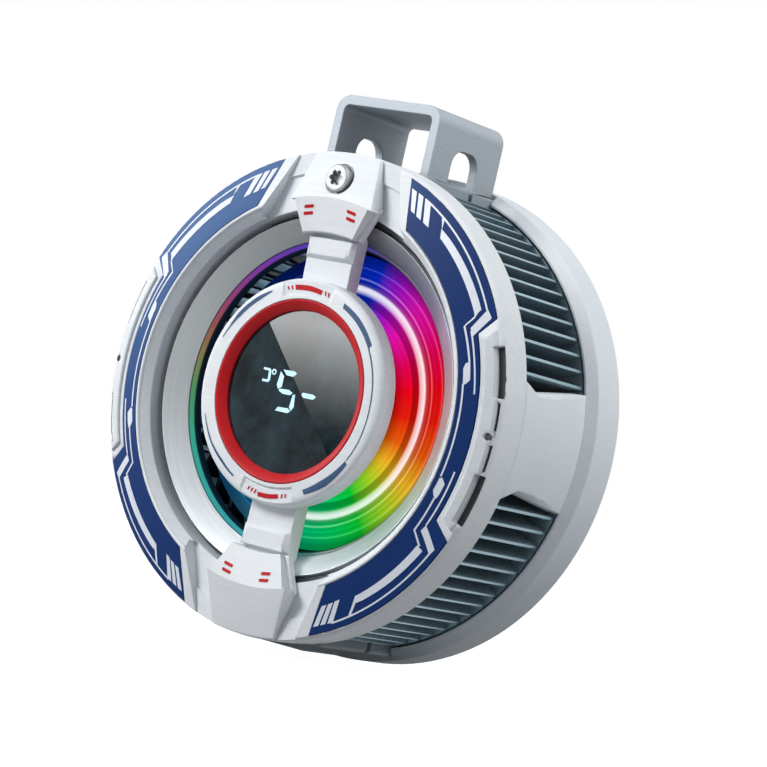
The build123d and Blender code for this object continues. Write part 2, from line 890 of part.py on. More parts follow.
board_front = lens_back - digit_thickness
with BuildPart() as display_board:
    with BuildSketch(facing(board_front)):
        Circle(display_board_radius)
    extrude(amount=-display_board_thickness)
save(display_board, "display_board")

with BuildPart() as hub_back:
    with BuildSketch(facing(hub_back_depth)):
        Circle(hub_bore_radius - slip)
    extrude(amount=hub_back_thickness)
    spigot = board_front - display_board_thickness - hub_back_depth
    extrude(washer(hub_back_depth, hub_bore_radius - slip, led_board_inner_radius), amount=spigot)
save(hub_back, "hub_back")

with BuildPart() as led_board:
    extrude(washer(hub_back_depth, led_board_radius, led_board_inner_radius), amount=-led_board_thickness)
save(led_board, "led_board")

with BuildPart() as leds:
    with BuildSketch(facing(hub_back_depth - led_board_thickness)):
        with PolarLocations(led_circle_radius, led_count):
            Rectangle(led_size, led_size)
    extrude(amount=-led_height)
save(leds, "leds")

# Room for the pillars and the guide blocks in the fins and in the deck


def fittings_outline(depth):
    """Spaces of the pillars and the guide blocks in one sketch, at a depth."""
    reach = fin_outer_radius + overrun
    low = pillar_pocket_radius
    turn = pillar_sector_angle
    with BuildSketch(facing(depth)) as drawn:
        for height_sign in (1, -1):
            with Locations((0, height_sign * reach / 2)):
                Rectangle(2 * (guide_half + guide_pocket_margin), reach)
        Circle(guide_inner_radius - slip, mode=Mode.SUBTRACT)
        for side in (0, 180):
            with BuildLine():
                first = side - turn
                last = side + turn
                ThreePointArc(polar(low, first), polar(low, side), polar(low, last))
                Line(polar(low, last), polar(reach, last))
                ThreePointArc(polar(reach, last), polar(reach, side), polar(reach, first))
                Line(polar(reach, first), polar(low, first))
            make_face()
    return drawn.sketch


# Heat sink: a base disc with radial fins all round the blower

with BuildPart() as radial_heatsink:
    with BuildSketch(facing(sink_base_top)):
        with PolarLocations((fin_inner_radius + fin_outer_radius) / 2, fin_count):
            Rectangle(fin_outer_radius - fin_inner_radius, fin_thickness)
    extrude(amount=deck_back - sink_base_top)
    extrude(fittings_outline(sink_base_top), amount=fin_outer_radius, mode=Mode.SUBTRACT)
    socket_space = fin_outer_radius - fin_inner_radius
    with BuildSketch(facing(socket_depth - socket_height)):
        with Locations((-fin_inner_radius - socket_space / 2, 0)):
            Rectangle(socket_space + overrun, socket_width + overrun)
    extrude(amount=fin_outer_radius, mode=Mode.SUBTRACT)
    with BuildSketch(facing(sink_base_bottom)):
        Circle(fin_outer_radius)
        for angle in shell_boss_angles:
            with Locations(polar(shell_boss_circle, angle)):
                Circle(shell_screw_radius + slip, mode=Mode.SUBTRACT)
    extrude(amount=sink_base_top - sink_base_bottom)
    with BuildSketch(facing(guide_floor_depth)):
        Rectangle(2 * (guide_half + guide_pocket_margin), 4 * fin_outer_radius)
        Circle(guide_inner_radius - slip, mode=Mode.SUBTRACT)
    extrude(amount=sink_base_top - guide_floor_depth, mode=Mode.SUBTRACT)
save(radial_heatsink, "radial_heatsink")

with BuildPart() as deck_ring:
    extrude(washer(deck_back, deck_outer_radius, deck_inner_radius), amount=deck_thickness)
    extrude(fittings_outline(deck_back), amount=deck_thickness, mode=Mode.SUBTRACT)
save(deck_ring, "deck_ring")

# Rear shell: a shallow dish with bosses and a groove for the magnets

with BuildPart() as rear_shell:
    shell_section = section(
        (rear_opening_radius, rear_back_depth),
        (rear_ring_radius - rear_corner, rear_back_depth),
        (rear_ring_radius, rear_back_depth + rear_corner),
        (rear_ring_radius, rear_side_depth),
        (rear_rim_radius, rear_rim_depth),
        (rear_wall_radius, rear_rim_depth),
        (rear_wall_radius, panel_top),
        (magnet_outer_radius + slip, panel_top),
        (magnet_outer_radius + slip, magnet_bottom),
        (magnet_inner_radius - slip, magnet_bottom),
        (magnet_inner_radius - slip, panel_top),
        (rear_opening_radius, panel_top),
    )
    revolve(shell_section, axis=Axis.Y)
    with BuildSketch(facing(panel_top)):
        for angle in shell_boss_angles:
            with Locations(polar(shell_boss_circle, angle)):
                Circle(shell_boss_radius)
    extrude(amount=sink_base_bottom - panel_top)
    for depth, radius in ((rear_back_depth, shell_screw_radius), (screw_seat, shell_screw_head_radius)):
        start = depth if radius == shell_screw_radius else rear_back_depth
        reach = sink_base_bottom if radius == shell_screw_radius else screw_seat
        with BuildSketch(facing(start)):
            for angle in shell_boss_angles:
                with Locations(polar(shell_boss_circle, angle)):
                    Circle(radius + slip)
        extrude(amount=reach - start, mode=Mode.SUBTRACT)
    with BuildSketch(facing(guide_floor_depth)):
        Rectangle(2 * (guide_half + guide_pocket_margin), 4 * rear_ring_radius)
    extrude(amount=overrun, mode=Mode.SUBTRACT)
save(rear_shell, "rear_shell")

with BuildPart() as shell_screws:
    with BuildSketch(facing(screw_seat)):
        for angle in shell_boss_angles:
            with Locations(polar(shell_boss_circle, angle)):
                Circle(shell_screw_head_radius)
    extrude(amount=-shell_screw_head_length)
    with BuildSketch(facing(screw_seat)):
        for angle in shell_boss_angles:
            with Locations(polar(shell_boss_circle, angle)):
                Circle(shell_screw_radius)
    extrude(amount=sink_base_top - screw_seat)
save(shell_screws, "shell_screws")

with BuildPart() as magnet_ring:
    step = 360 / magnet_count
    for index in range(magnet_count):
        start = index * step
        end = start + step - magnet_gap_angle
        block = sector(magnet_bottom, magnet_inner_radius, magnet_outer_radius, start, end)
        extrude(block, amount=magnet_thickness)
save(magnet_ring, "magnet_ring")

with BuildPart() as contact_pad:
    outer = magnet_outer_radius + pad_outer_margin
    inner = magnet_inner_radius - pad_inner_margin
    extrude(washer(rear_back_depth - pad_thickness, outer, inner), amount=pad_thickness)
save(contact_pad, "contact_pad")

# Cold plate with a flange that holds it in the shell

with BuildPart() as cold_plate:
    with BuildSketch(facing(0)):
        Circle(cold_plate_radius)
    extrude(amount=panel_top)
    with BuildSketch(facing(panel_top)):
        Circle(cold_flange_radius)
    extrude(amount=cold_flange_thickness)
save(cold_plate, "cold_plate")

# Thermoelectric module: two ceramic plates with rows of pellets between them

with BuildPart() as thermoelectric_module:
    for depth in (flange_top, sink_base_bottom - module_plate):
        with BuildSketch(facing(depth)):
            Rectangle(module_side, module_side)
        extrude(amount=module_plate)
    with BuildSketch(facing(flange_top + module_plate)):
        with GridLocations(pellet_pitch, pellet_pitch, pellets_a_side, pellets_a_side):
            Rectangle(pellet_side, pellet_side)
    extrude(amount=pellet_height)
save(thermoelectric_module, "thermoelectric_module")

with BuildPart() as insulation_ring:
    thickness = sink_base_bottom - panel_top
    extrude(washer(panel_top, insulation_outer_radius, insulation_inner_radius), amount=thickness)
save(insulation_ring, "insulation_ring")

# Control board in the shell, with its chips and coil

with BuildPart() as control_board:
    board = sector(panel_top, board_inner_radius, board_outer_radius, board_start_angle, board_end_angle)
    extrude(board, amount=board_thickness)
    middle = (board_inner_radius + board_outer_radius) / 2
    with BuildSketch(facing(panel_top + board_thickness)):
        for share in chip_shares:
            turn = board_start_angle + (board_end_angle - board_start_angle) * share
            with PolarLocations(middle, 1, start_angle=turn):
                Rectangle(chip_side, chip_side)
    extrude(amount=chip_height)
save(control_board, "control_board")

# Pillars: faceted posts that flare out to the front ring


def pillar_section(depth, crest, half):
    """Cross-section of the right pillar at a depth, crest half and foot half."""
    reach = front_ring_radius + overrun
    shoulder = front_ring_radius - pillar_facet_drop
    low = pillar_inner_radius - overrun
    with BuildSketch(facing(depth)) as drawn:
        with BuildLine():
            Polyline(
                (low, -half), (shoulder, -half), (front_ring_radius, -crest), (reach, -crest),
                (reach, crest), (front_ring_radius, crest), (shoulder, half), (low, half),
                close=True,
            )
        make_face()
    return drawn.sketch.face()


with BuildPart() as right_pillar:
    waist_depth = ring_back - pillar_flare_length
    front = pillar_section(ring_back, pillar_front_crest, pillar_front_half)
    waist = pillar_section(waist_depth, pillar_waist_crest, pillar_waist_half)
    rear = pillar_section(rear_rim_depth, pillar_rear_crest, pillar_rear_half)
    loft([front, waist], ruled=True)
    loft([waist, rear], ruled=True)
    shell_of_pillar = section(
        (pillar_inner_radius, rear_rim_depth),
        (pillar_inner_radius, ring_back),
        (front_ring_radius, ring_back),
        (rear_rim_radius, rear_rim_depth),
    )
    revolve(shell_of_pillar, axis=Axis.Y, mode=Mode.INTERSECT)
save(right_pillar, "right_pillar")

with BuildPart() as left_pillar:
    add(right_pillar.part.mirror(Plane.YZ))
    with BuildSketch(Plane(origin=(0, -socket_depth, 0), x_dir=(0, 0, 1), z_dir=(-1, 0, 0))):
        SlotOverall(socket_width + 2 * slip, socket_height + 2 * slip)
    extrude(amount=2 * front_ring_radius, mode=Mode.SUBTRACT)
save(left_pillar, "left_pillar")

# Socket: a rounded shell with its tongue, opening to the left

with BuildPart() as usb_inlet:
    mouth = rear_rim_radius - socket_setback
    with BuildSketch(Plane(origin=(-mouth, -socket_depth, 0), x_dir=(0, 0, 1), z_dir=(-1, 0, 0))):
        SlotOverall(socket_width, socket_height)
        SlotOverall(socket_width - 2 * socket_wall, socket_height - 2 * socket_wall, mode=Mode.SUBTRACT)
    extrude(amount=-socket_length)
    back = socket_length - mouth
    with BuildSketch(Plane(origin=(back, -socket_depth, 0), x_dir=(0, 0, 1), z_dir=(-1, 0, 0))):
        SlotOverall(socket_width, socket_height)
    extrude(amount=socket_wall)
    with BuildSketch(Plane(origin=(back, -socket_depth, 0), x_dir=(0, 0, 1), z_dir=(-1, 0, 0))):
        Rectangle(socket_tongue_width, socket_tongue_height)
    extrude(amount=socket_length - socket_tongue_setback)
save(usb_inlet, "usb_inlet")

# Guide blocks that the hoop's feet slide in, two at the top and two at the bottom


def block_outline(depth, height_sign):
    """Front view of a guide block, hollowed below to the blower's round."""
    low = guide_inner_radius * cos(asin(guide_half / guide_inner_radius)) - slip
    with BuildSketch(facing(depth)) as drawn:
        with BuildLine():
            Polyline(
                (guide_half, height_sign * (guide_top_height - guide_bevel)),
                (guide_half - guide_bevel, height_sign * guide_top_height),
                (guide_bevel - guide_half, height_sign * guide_top_height),
                (-guide_half, height_sign * (guide_top_height - guide_bevel)),
                (-guide_half, height_sign * low),
                (guide_half, height_sign * low),
                close=True,
            )
        make_face()
        Circle(guide_inner_radius, mode=Mode.SUBTRACT)
    return drawn.sketch


def leg_slots(depth, height_sign):
    """Slots for both legs of the hoop with play on each face."""
    outer = hoop_half + hoop_play
    inner = hoop_half - hoop_sheet - hoop_play
    with BuildSketch(facing(depth)) as drawn:
        for side in (1, -1):
            with Locations((side * (outer + inner) / 2, height_sign * guide_top_height / 2)):
                Rectangle(outer - inner, guide_top_height)
    return drawn.sketch


front_slot = (slot_front - hoop_play, hoop_front + hoop_play)
rear_slot = (guide_floor_depth, slot_rear + hoop_play)

with BuildPart() as top_front_guide:
    extrude(block_outline(front_block_depth, 1), amount=ring_back - front_block_depth)
    extrude(leg_slots(front_slot[0], 1), amount=front_slot[1] - front_slot[0], mode=Mode.SUBTRACT)
save(top_front_guide, "top_front_guide")

with BuildPart() as top_rear_guide:
    extrude(block_outline(guide_floor_depth, 1), amount=rear_block_depth - guide_floor_depth)
    extrude(leg_slots(rear_slot[0], 1), amount=rear_slot[1] - rear_slot[0], mode=Mode.SUBTRACT)
save(top_rear_guide, "top_rear_guide")

with BuildPart() as bottom_front_guide:
    extrude(block_outline(front_block_depth, -1), amount=ring_back - front_block_depth)
    with BuildSketch(facing(front_block_depth + block_lip_setback)):
        with Locations((0, -guide_top_height - block_lip_height / 2)):
            Rectangle(2 * block_lip_half, block_lip_height)
    extrude(amount=ring_back - front_block_depth - block_lip_setback)
save(bottom_front_guide, "bottom_front_guide")

with BuildPart() as bottom_rear_guide:
    extrude(block_outline(guide_floor_depth, -1), amount=rear_block_depth - guide_floor_depth)
save(bottom_rear_guide, "bottom_rear_guide")

# Hoop: a bent strap with an open slot in each leg

with BuildPart() as hoop:
    with BuildSketch(facing(hoop_back)) as strap:
        with BuildLine() as bend_line:
            centre_half = hoop_half - hoop_sheet / 2
            centre_top = hoop_top_height - hoop_sheet / 2
            FilletPolyline(
                (-centre_half, hoop_foot_height),
                (-centre_half, centre_top),
                (centre_half, centre_top),
                (centre_half, hoop_foot_height),
                radius=hoop_bend - hoop_sheet / 2,
            )
        trace(bend_line.line, line_width=hoop_sheet)
    extrude(amount=hoop_front - hoop_back)
    with BuildSketch(SIDE):
        with Locations((hoop_slot_top / 2, (slot_front + slot_rear) / 2)):
            Rectangle(hoop_slot_top, slot_front - slot_rear)
    extrude(amount=hoop_half, both=True, mode=Mode.SUBTRACT)
    crowns = hoop.edges().filter_by(Axis.X).filter_by_position(
        Axis.Z, hoop_slot_top - slip, hoop_slot_top + slip
    )
    fillet(crowns, hoop_slot_corner)
save(hoop, "hoop")

# Impeller: curved blades between a back plate and a narrow tip ring


def blade_outline(depth, angle):
    """One curved blade in the front view, leaning back from root to tip."""
    half = blade_thickness / 2
    turn = 90 + angle + blade_lean / 2
    shift = polar(half, turn)
    bow = polar((blade_root_radius + blade_tip_radius) / 2, angle + blade_lean / 2)
    bow = (bow[0] + blade_bulge * cos(radians(turn)), bow[1] + blade_bulge * sin(radians(turn)))
    root = polar(blade_root_radius, angle)
    tip = polar(blade_tip_radius - slip, angle + blade_lean)
    with BuildSketch(facing(depth)) as drawn:
        with BuildLine():
            near = [(x + shift[0], y + shift[1]) for x, y in (root, bow, tip)]
            far = [(x - shift[0], y - shift[1]) for x, y in (root, bow, tip)]
            ThreePointArc(*near)
            Line(near[-1], far[-1])
            ThreePointArc(*reversed(far))
            Line(far[0], near[0])
        make_face()
    return drawn.sketch


with BuildPart() as impeller:
    hub_inner = cup_radius + impeller_hub_gap
    hub_outer = hub_inner + impeller_hub_wall
    plate_top = impeller_bottom + impeller_plate
    cap_top = cup_top + impeller_cap
    body = section(
        (hub_inner, impeller_bottom),
        (blade_tip_radius, impeller_bottom),
        (blade_tip_radius, plate_top),
        (hub_outer, plate_top),
        (hub_outer, cap_top),
        (clip_radius, cap_top),
        (clip_radius, cup_top),
        (hub_inner, cup_top),
    )
    revolve(body, axis=Axis.Y)
save(impeller, "impeller")

with BuildPart() as blade_ring:
    for index in range(blade_count):
        blade = blade_outline(plate_top, index * 360 / blade_count)
        extrude(blade, amount=impeller_top - plate_top)
    shroud = washer(impeller_top, blade_tip_radius, blade_tip_radius - shroud_width)
    extrude(shroud, amount=-shroud_thickness)
save(blade_ring, "blade_ring")

# Light disc: a clear disc with rings of V ridges round the hub

with BuildPart() as light_disc:
    under = light_disc_front - light_disc_thickness
    ridges = []
    ridge_start = hub_outer + light_ridge_margin
    ridge_pitch = (light_disc_radius - light_ridge_margin - ridge_start) / light_ridges
    for index in range(light_ridges):
        start = ridge_start + index * ridge_pitch
        ridges.append((start, light_disc_front))
        ridges.append((start + ridge_pitch / 2, light_disc_front - light_ridge_height))
    disc_section = section(
        (clip_radius, cap_top),
        (hub_outer, cap_top),
        (hub_outer, under),
        (light_disc_radius, under),
        (light_disc_radius, light_disc_front),
        *reversed(ridges),
        (clip_radius, light_disc_front),
    )
    revolve(disc_section, axis=Axis.Y)
save(light_disc, "light_disc")

# Rotor: steel cup, ring magnet, shaft and its clip

with BuildPart() as rotor_cup:
    cup = section(
        (shaft_radius + pin_play, cup_top),
        (cup_radius, cup_top),
        (cup_radius, cup_bottom),
        (cup_radius - cup_wall, cup_bottom),
        (cup_radius - cup_wall, cup_top - cup_wall),
        (shaft_radius + pin_play, cup_top - cup_wall),
    )
    revolve(cup, axis=Axis.Y)
save(rotor_cup, "rotor_cup")

with BuildPart() as rotor_magnet:
    outer = cup_radius - cup_wall - pin_play
    inner = outer - rotor_magnet_wall
    start = cup_bottom + rotor_magnet_setback
    finish = cup_top - cup_wall - rotor_magnet_drop
    extrude(washer(start, outer, inner), amount=finish - start)
save(rotor_magnet, "rotor_magnet")

with BuildPart() as shaft:
    clip_top = clip_bottom + clip_thickness
    pin = section(
        (0, shaft_bottom),
        (shaft_radius, shaft_bottom),
        (shaft_radius, clip_bottom),
        (shaft_radius - clip_groove, clip_bottom),
        (shaft_radius - clip_groove, clip_top),
        (shaft_radius, clip_top),
        (shaft_radius, cup_top),
        (0, cup_top),
    )
    revolve(pin, axis=Axis.Y)
save(shaft, "shaft")

with BuildPart() as shaft_clip:
    with BuildSketch(facing(clip_bottom)):
        Circle(clip_radius)
        Circle(shaft_radius - clip_groove + pin_play, mode=Mode.SUBTRACT)
        with Locations((clip_radius, 0)):
            Rectangle(2 * clip_radius, shaft_radius, mode=Mode.SUBTRACT)
    extrude(amount=clip_thickness)
save(shaft_clip, "shaft_clip")

# Motor base and bearings

with BuildPart() as motor_base:
    plate_front = motor_plate_top
    base = section(
        (0, sink_base_top),
        (motor_plate_radius, sink_base_top),
        (motor_plate_radius, plate_front),
        (bearing_tube_radius, plate_front),
        (bearing_tube_radius, front_bearing_bottom + bearing_length),
        (bearing_radius + pin_play, front_bearing_bottom + bearing_length),
        (bearing_radius + pin_play, plate_front),
        (0, plate_front),
    )
    revolve(base, axis=Axis.Y)
save(motor_base, "motor_base")

with BuildPart() as rear_bearing:
    ring = washer(rear_bearing_bottom, bearing_radius, shaft_radius + pin_play)
    extrude(ring, amount=bearing_length)
save(rear_bearing, "rear_bearing")

with BuildPart() as front_bearing:
    ring = washer(front_bearing_bottom, bearing_radius, shaft_radius + pin_play)
    extrude(ring, amount=bearing_length)
save(front_bearing, "front_bearing")

# Stator: a core with six teeth, each with its coil

with BuildPart() as stator_core:
    shoe_outer = cup_radius - cup_wall - pin_play - rotor_magnet_wall - air_gap
    shoe_inner = shoe_outer - stator_shoe_thickness
    with BuildSketch(facing(stator_bottom)):
        Circle(stator_core_radius)
        with PolarLocations((stator_core_radius + shoe_inner) / 2, stator_teeth):
            Rectangle(shoe_inner - stator_core_radius + slip, stator_tooth_width)
        Circle(bearing_tube_radius + pin_play, mode=Mode.SUBTRACT)
    extrude(amount=stator_length)
    for index in range(stator_teeth):
        middle = index * 360 / stator_teeth
        half = stator_shoe_angle / 2
        shoe = sector(stator_bottom, shoe_inner, shoe_outer, middle - half, middle + half)
        extrude(shoe, amount=stator_length)
    with BuildSketch(facing(stator_bottom)):
        with PolarLocations((stator_core_radius + shoe_inner) / 2, stator_teeth):
            Rectangle(shoe_inner - stator_core_radius + 2 * coil_setback, stator_tooth_width)
    extrude(amount=stator_length)
save(stator_core, "stator_core")

with BuildPart() as stator_coils:
    coil_span = shoe_inner - stator_core_radius - 2 * coil_setback
    coil_middle = (stator_core_radius + shoe_inner) / 2
    with BuildSketch(facing(stator_bottom - coil_thickness)):
        with PolarLocations(coil_middle, stator_teeth):
            Rectangle(coil_span, stator_tooth_width + 2 * coil_thickness)
    extrude(amount=stator_length + 2 * coil_thickness)
    with BuildSketch(facing(stator_bottom - pin_play)):
        with PolarLocations(coil_middle, stator_teeth):
            Rectangle(coil_span + overrun, stator_tooth_width + 2 * pin_play)
    extrude(amount=stator_length + 2 * pin_play, mode=Mode.SUBTRACT)
save(stator_coils, "stator_coils")
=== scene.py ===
# %% [markdown]
# # Dressing a phone cooling fan
#
# The solid model of this cooler is exact, but plain: a white domed ring with blue inlays, a lit
# disc that spins behind a temperature display, radial fins round the blower, and a silver shell
# with the cold plate. This lesson loads it as a fixed frame and dresses it with softer edges,
# printed stripes, brushed metal, and a disc that glows in the colours of the rainbow.
#
# Everything is in metres: X to the right, Z up, and the fan's axis along Y, its front to -Y.

# %% Load the frame
from functools import partialmethod
from math import cos, pi, radians, sin, tau

import bmesh
import bpy
from mathutils import Matrix, Vector
from mathutils.bvhtree import BVHTree


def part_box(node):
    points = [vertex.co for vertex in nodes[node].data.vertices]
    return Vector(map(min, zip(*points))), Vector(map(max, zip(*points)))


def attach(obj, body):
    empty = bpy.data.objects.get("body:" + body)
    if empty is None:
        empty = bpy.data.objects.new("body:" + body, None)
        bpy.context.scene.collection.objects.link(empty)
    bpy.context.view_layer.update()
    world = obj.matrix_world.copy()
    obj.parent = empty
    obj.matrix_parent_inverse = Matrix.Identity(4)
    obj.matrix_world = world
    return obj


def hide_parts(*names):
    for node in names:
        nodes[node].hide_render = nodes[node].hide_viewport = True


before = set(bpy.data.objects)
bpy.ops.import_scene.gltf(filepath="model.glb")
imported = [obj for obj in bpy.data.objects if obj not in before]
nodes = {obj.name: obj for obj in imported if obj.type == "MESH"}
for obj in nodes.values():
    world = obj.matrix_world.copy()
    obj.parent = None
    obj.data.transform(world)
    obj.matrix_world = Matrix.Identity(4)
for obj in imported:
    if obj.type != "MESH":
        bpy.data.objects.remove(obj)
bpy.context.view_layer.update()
mm = 0.001
scene = bpy.context.scene

# %% [markdown]
# ## Small helpers for meshes
#
# The object is round, so its pieces are easiest to place in the front view: x to the right,
# y up, and a depth that grows from the cold face at the back to the display. One function turns
# such a point into X, Y and Z. A piece's place sits in its mesh, its object at the origin.

# %% Points in the front view
def front(x, y, depth):
    """Point of the frame, from millimetres in the front view and a depth."""
    return Vector((x, -depth, y)) * mm


def polar(radius, angle):
    """Corner in the front view at a radius and an angle in degrees from +X."""
    return radius * cos(radians(angle)), radius * sin(radians(angle))


def linked(name, data):
    """A new object in the scene."""
    made = bpy.data.objects.new(name, data)
    scene.collection.objects.link(made)
    return made


def as_object(name, shape, outwards=True):
    """A piece from a bmesh, its faces turned outwards unless they are right already."""
    if outwards:
        bmesh.ops.recalc_face_normals(shape, faces=shape.faces)
    mesh = bpy.data.meshes.new(name)
    shape.to_mesh(mesh)
    shape.free()
    return linked(name, mesh)


print("a point on the rim", tuple(front(*polar(36.0, 0.0), 30.5)))

# %% [markdown]
# Many shells are already right in the model and need only edges that are a little round. A
# copy of a node's triangles is merged and its flat neighbours are joined, so that the Bevel
# modifier sees the real edges. Where a wall or a step is thin, two rounded edges would run into
# each other, so an edge without enough room beside it gets no bevel weight and stays crisp.
# Weighted Normal then keeps flat faces flat up to their rounded edges.

# %% Copies with soft edges
def modify(piece, kind, **settings):
    """A new modifier with its settings."""
    modifier = piece.modifiers.new(kind.title(), kind)
    for key, value in settings.items():
        setattr(modifier, key, value)
    return modifier


def baked(piece):
    """The piece with its modifiers turned into plain mesh."""
    graph = bpy.context.evaluated_depsgraph_get()
    mesh = bpy.data.meshes.new_from_object(piece.evaluated_get(graph))
    piece.modifiers.clear()
    piece.data = mesh
    mesh.name = piece.name
    return piece


def merged(node):
    """A node's mesh as a new piece with whole faces."""
    shape = bmesh.new()
    shape.from_mesh(nodes[node].data)
    shape.transform(nodes[node].matrix_world)
    bmesh.ops.remove_doubles(shape, verts=shape.verts, dist=0.002 * mm)
    bmesh.ops.dissolve_limit(shape, angle_limit=radians(0.4), verts=shape.verts, edges=shape.edges)
    return as_object("soft_" + node, shape)


def smoothed(piece, angle=32.0):
    """Smooth shading, but sharp where faces meet at more than an angle."""
    piece.data.shade_smooth()
    piece.data.set_sharp_from_angle(angle=radians(angle))
    return piece


def point_to_edge(point, start, end):
    """Distance from a point to a straight edge."""
    side = end - start
    share = (point - start).dot(side) / max(side.length_squared, 1e-18)
    return (point - start - side * min(1.0, max(0.0, share))).length


def room(edge, sharp, reach):
    """Width of the narrower face strip beside an edge, up to a reach."""
    widest = reach
    for face in edge.link_faces:
        own = next(loop for loop in face.loops if loop.edge == edge)
        start, end = own.vert.co, own.link_loop_next.vert.co
        middle, half = (start + end) / 2, (end - start).length / 2
        along = (end - start).normalized()
        for loop in face.loops:
            first, last = loop.vert.co, loop.link_loop_next.vert.co
            far = ((first + last) / 2 - middle).length - (last - first).length / 2 - half
            if loop.edge == edge or far > widest or (last - first).normalized().dot(along) > 0.3:
                continue
            if set(loop.edge.verts) & set(edge.verts):
                widest = min(widest, 2 * loop.edge.calc_length())
            elif loop.edge in sharp:
                ends = ((first, start, end), (last, start, end), (start, first, last), (end, first, last))
                widest = min([widest] + [point_to_edge(*each) for each in ends])
    return widest


room_needed, room_searched = 2.2, 2.3


def softened(piece, width, angle=28.0, crisp=None):
    """Edges sharper than an angle are rounded by a width in millimetres, except crisp ones."""
    smoothed(piece, 180.0)
    shape = bmesh.new()
    shape.from_mesh(piece.data)
    weight = shape.edges.layers.float.new("bevel_weight_edge")
    sharp = {edge for edge in shape.edges if edge.is_manifold and edge.calc_face_angle(0.0) > radians(angle)}
    for edge in sharp:
        tight = room(edge, sharp, room_searched * width * mm) < room_needed * width * mm
        if tight or (crisp and crisp((edge.verts[0].co + edge.verts[1].co) / 2)):
            edge.smooth = False
        else:
            edge[weight] = 1.0
    shape.to_mesh(piece.data)
    shape.free()
    modify(piece, "BEVEL", width=width * mm, segments=2, limit_method="WEIGHT", use_clamp_overlap=False)
    modify(piece, "WEIGHTED_NORMAL", mode="FACE_AREA", weight=100, keep_sharp=True)
    return baked(piece)


print("edges are rounded where the strips beside them are", room_needed, "widths wide")

# %% [markdown]
# New shapes are skins over rows of points. A lathe spins a section in fine steps, so that the
# long highlights on metal stay clean. A prism stands on an outline in the front view. A Boolean
# takes one piece from another, or joins the two.

# %% Lathe, prisms and cuts
def lofted(name, sections, ring=False):
    """A skin over sections of points, closed to a ring or capped at both ends."""
    shape = bmesh.new()
    rows = [[shape.verts.new(point) for point in section] for section in sections]
    if not ring:
        shape.faces.new(rows[0])
        shape.faces.new(rows[-1])
    for here, there in zip(rows, rows[1:] + rows[:1] if ring else rows[1:]):
        for corners in zip(here, here[1:] + here[:1], there[1:] + there[:1], there):
            shape.faces.new(corners)
    return as_object(name, shape)


def lathe(name, outline, turns=256):
    """A closed ring spun from its section, given as (radius, depth) corners."""
    angles = [360.0 * turn / turns for turn in range(turns)]
    return smoothed(lofted(name, [[front(*polar(r, angle), d) for r, d in outline] for angle in angles], True))


def prism(name, corners, low, high, wider=None):
    """A block over an outline in the front view, between two depths; its top may be wider."""
    below = [front(x, y, low) for x, y in corners]
    above = [front(x, y, high) for x, y in wider or corners]
    return lofted(name, [below, above])


def arc_corners(inner, outer, start, end, side=1, count=16):
    """Corners of a piece of a ring between two angles, mirrored in X if side is -1."""
    angles = [start + (end - start) * step / count for step in range(count + 1)]
    out = [polar(outer, angle) for angle in angles]
    back = [polar(inner, angle) for angle in angles[::-1]]
    return [(side * x, y) for x, y in out + back]


def disc_corners(x, y, radius, count=48):
    """Corners of a circle in the front view."""
    turns = [tau * step / count for step in range(count)]
    return [(x + radius * cos(turn), y + radius * sin(turn)) for turn in turns]


def box_corners(left, low, right, high):
    """Corners of a rectangle in the front view."""
    return [(left, low), (right, low), (right, high), (left, high)]


def carved(piece, other, operation="DIFFERENCE"):
    """The piece with the other taken away from it, or joined to it; the other is used up."""
    modify(piece, "BOOLEAN", operation=operation, solver="EXACT", object=other)
    baked(piece)
    bpy.data.objects.remove(other)
    return piece


print("a circle has", len(disc_corners(0.0, 0.0, 1.0)), "corners")

# %% [markdown]
# ## Node trees written as Python
#
# A node tree is easier to read as a formula. `Value` wraps one output socket, and its operators
# add Math nodes. `Sheet.node` makes any other node from its type, its inputs and its settings.
# The same two classes serve materials and geometry.

# %% Value and Sheet
class Value:
    """An output socket that can stand in a Python expression."""

    def __init__(self, sheet, socket):
        self.sheet = sheet
        self.socket = socket

    def math(self, operation, *others):
        """A Math node on this value and the others."""
        inputs = dict(enumerate((self, *others)))
        return self.sheet.node("ShaderNodeMath", inputs, operation=operation)

    def __rsub__(self, other):
        return self * -1.0 + other

    __add__ = __radd__ = partialmethod(math, "ADD")
    __sub__ = partialmethod(math, "SUBTRACT")
    __mul__ = partialmethod(math, "MULTIPLY")
    __truediv__ = partialmethod(math, "DIVIDE")
    __gt__ = partialmethod(math, "GREATER_THAN")


def grey(value):
    """A neutral colour."""
    return (value, value, value, 1.0)


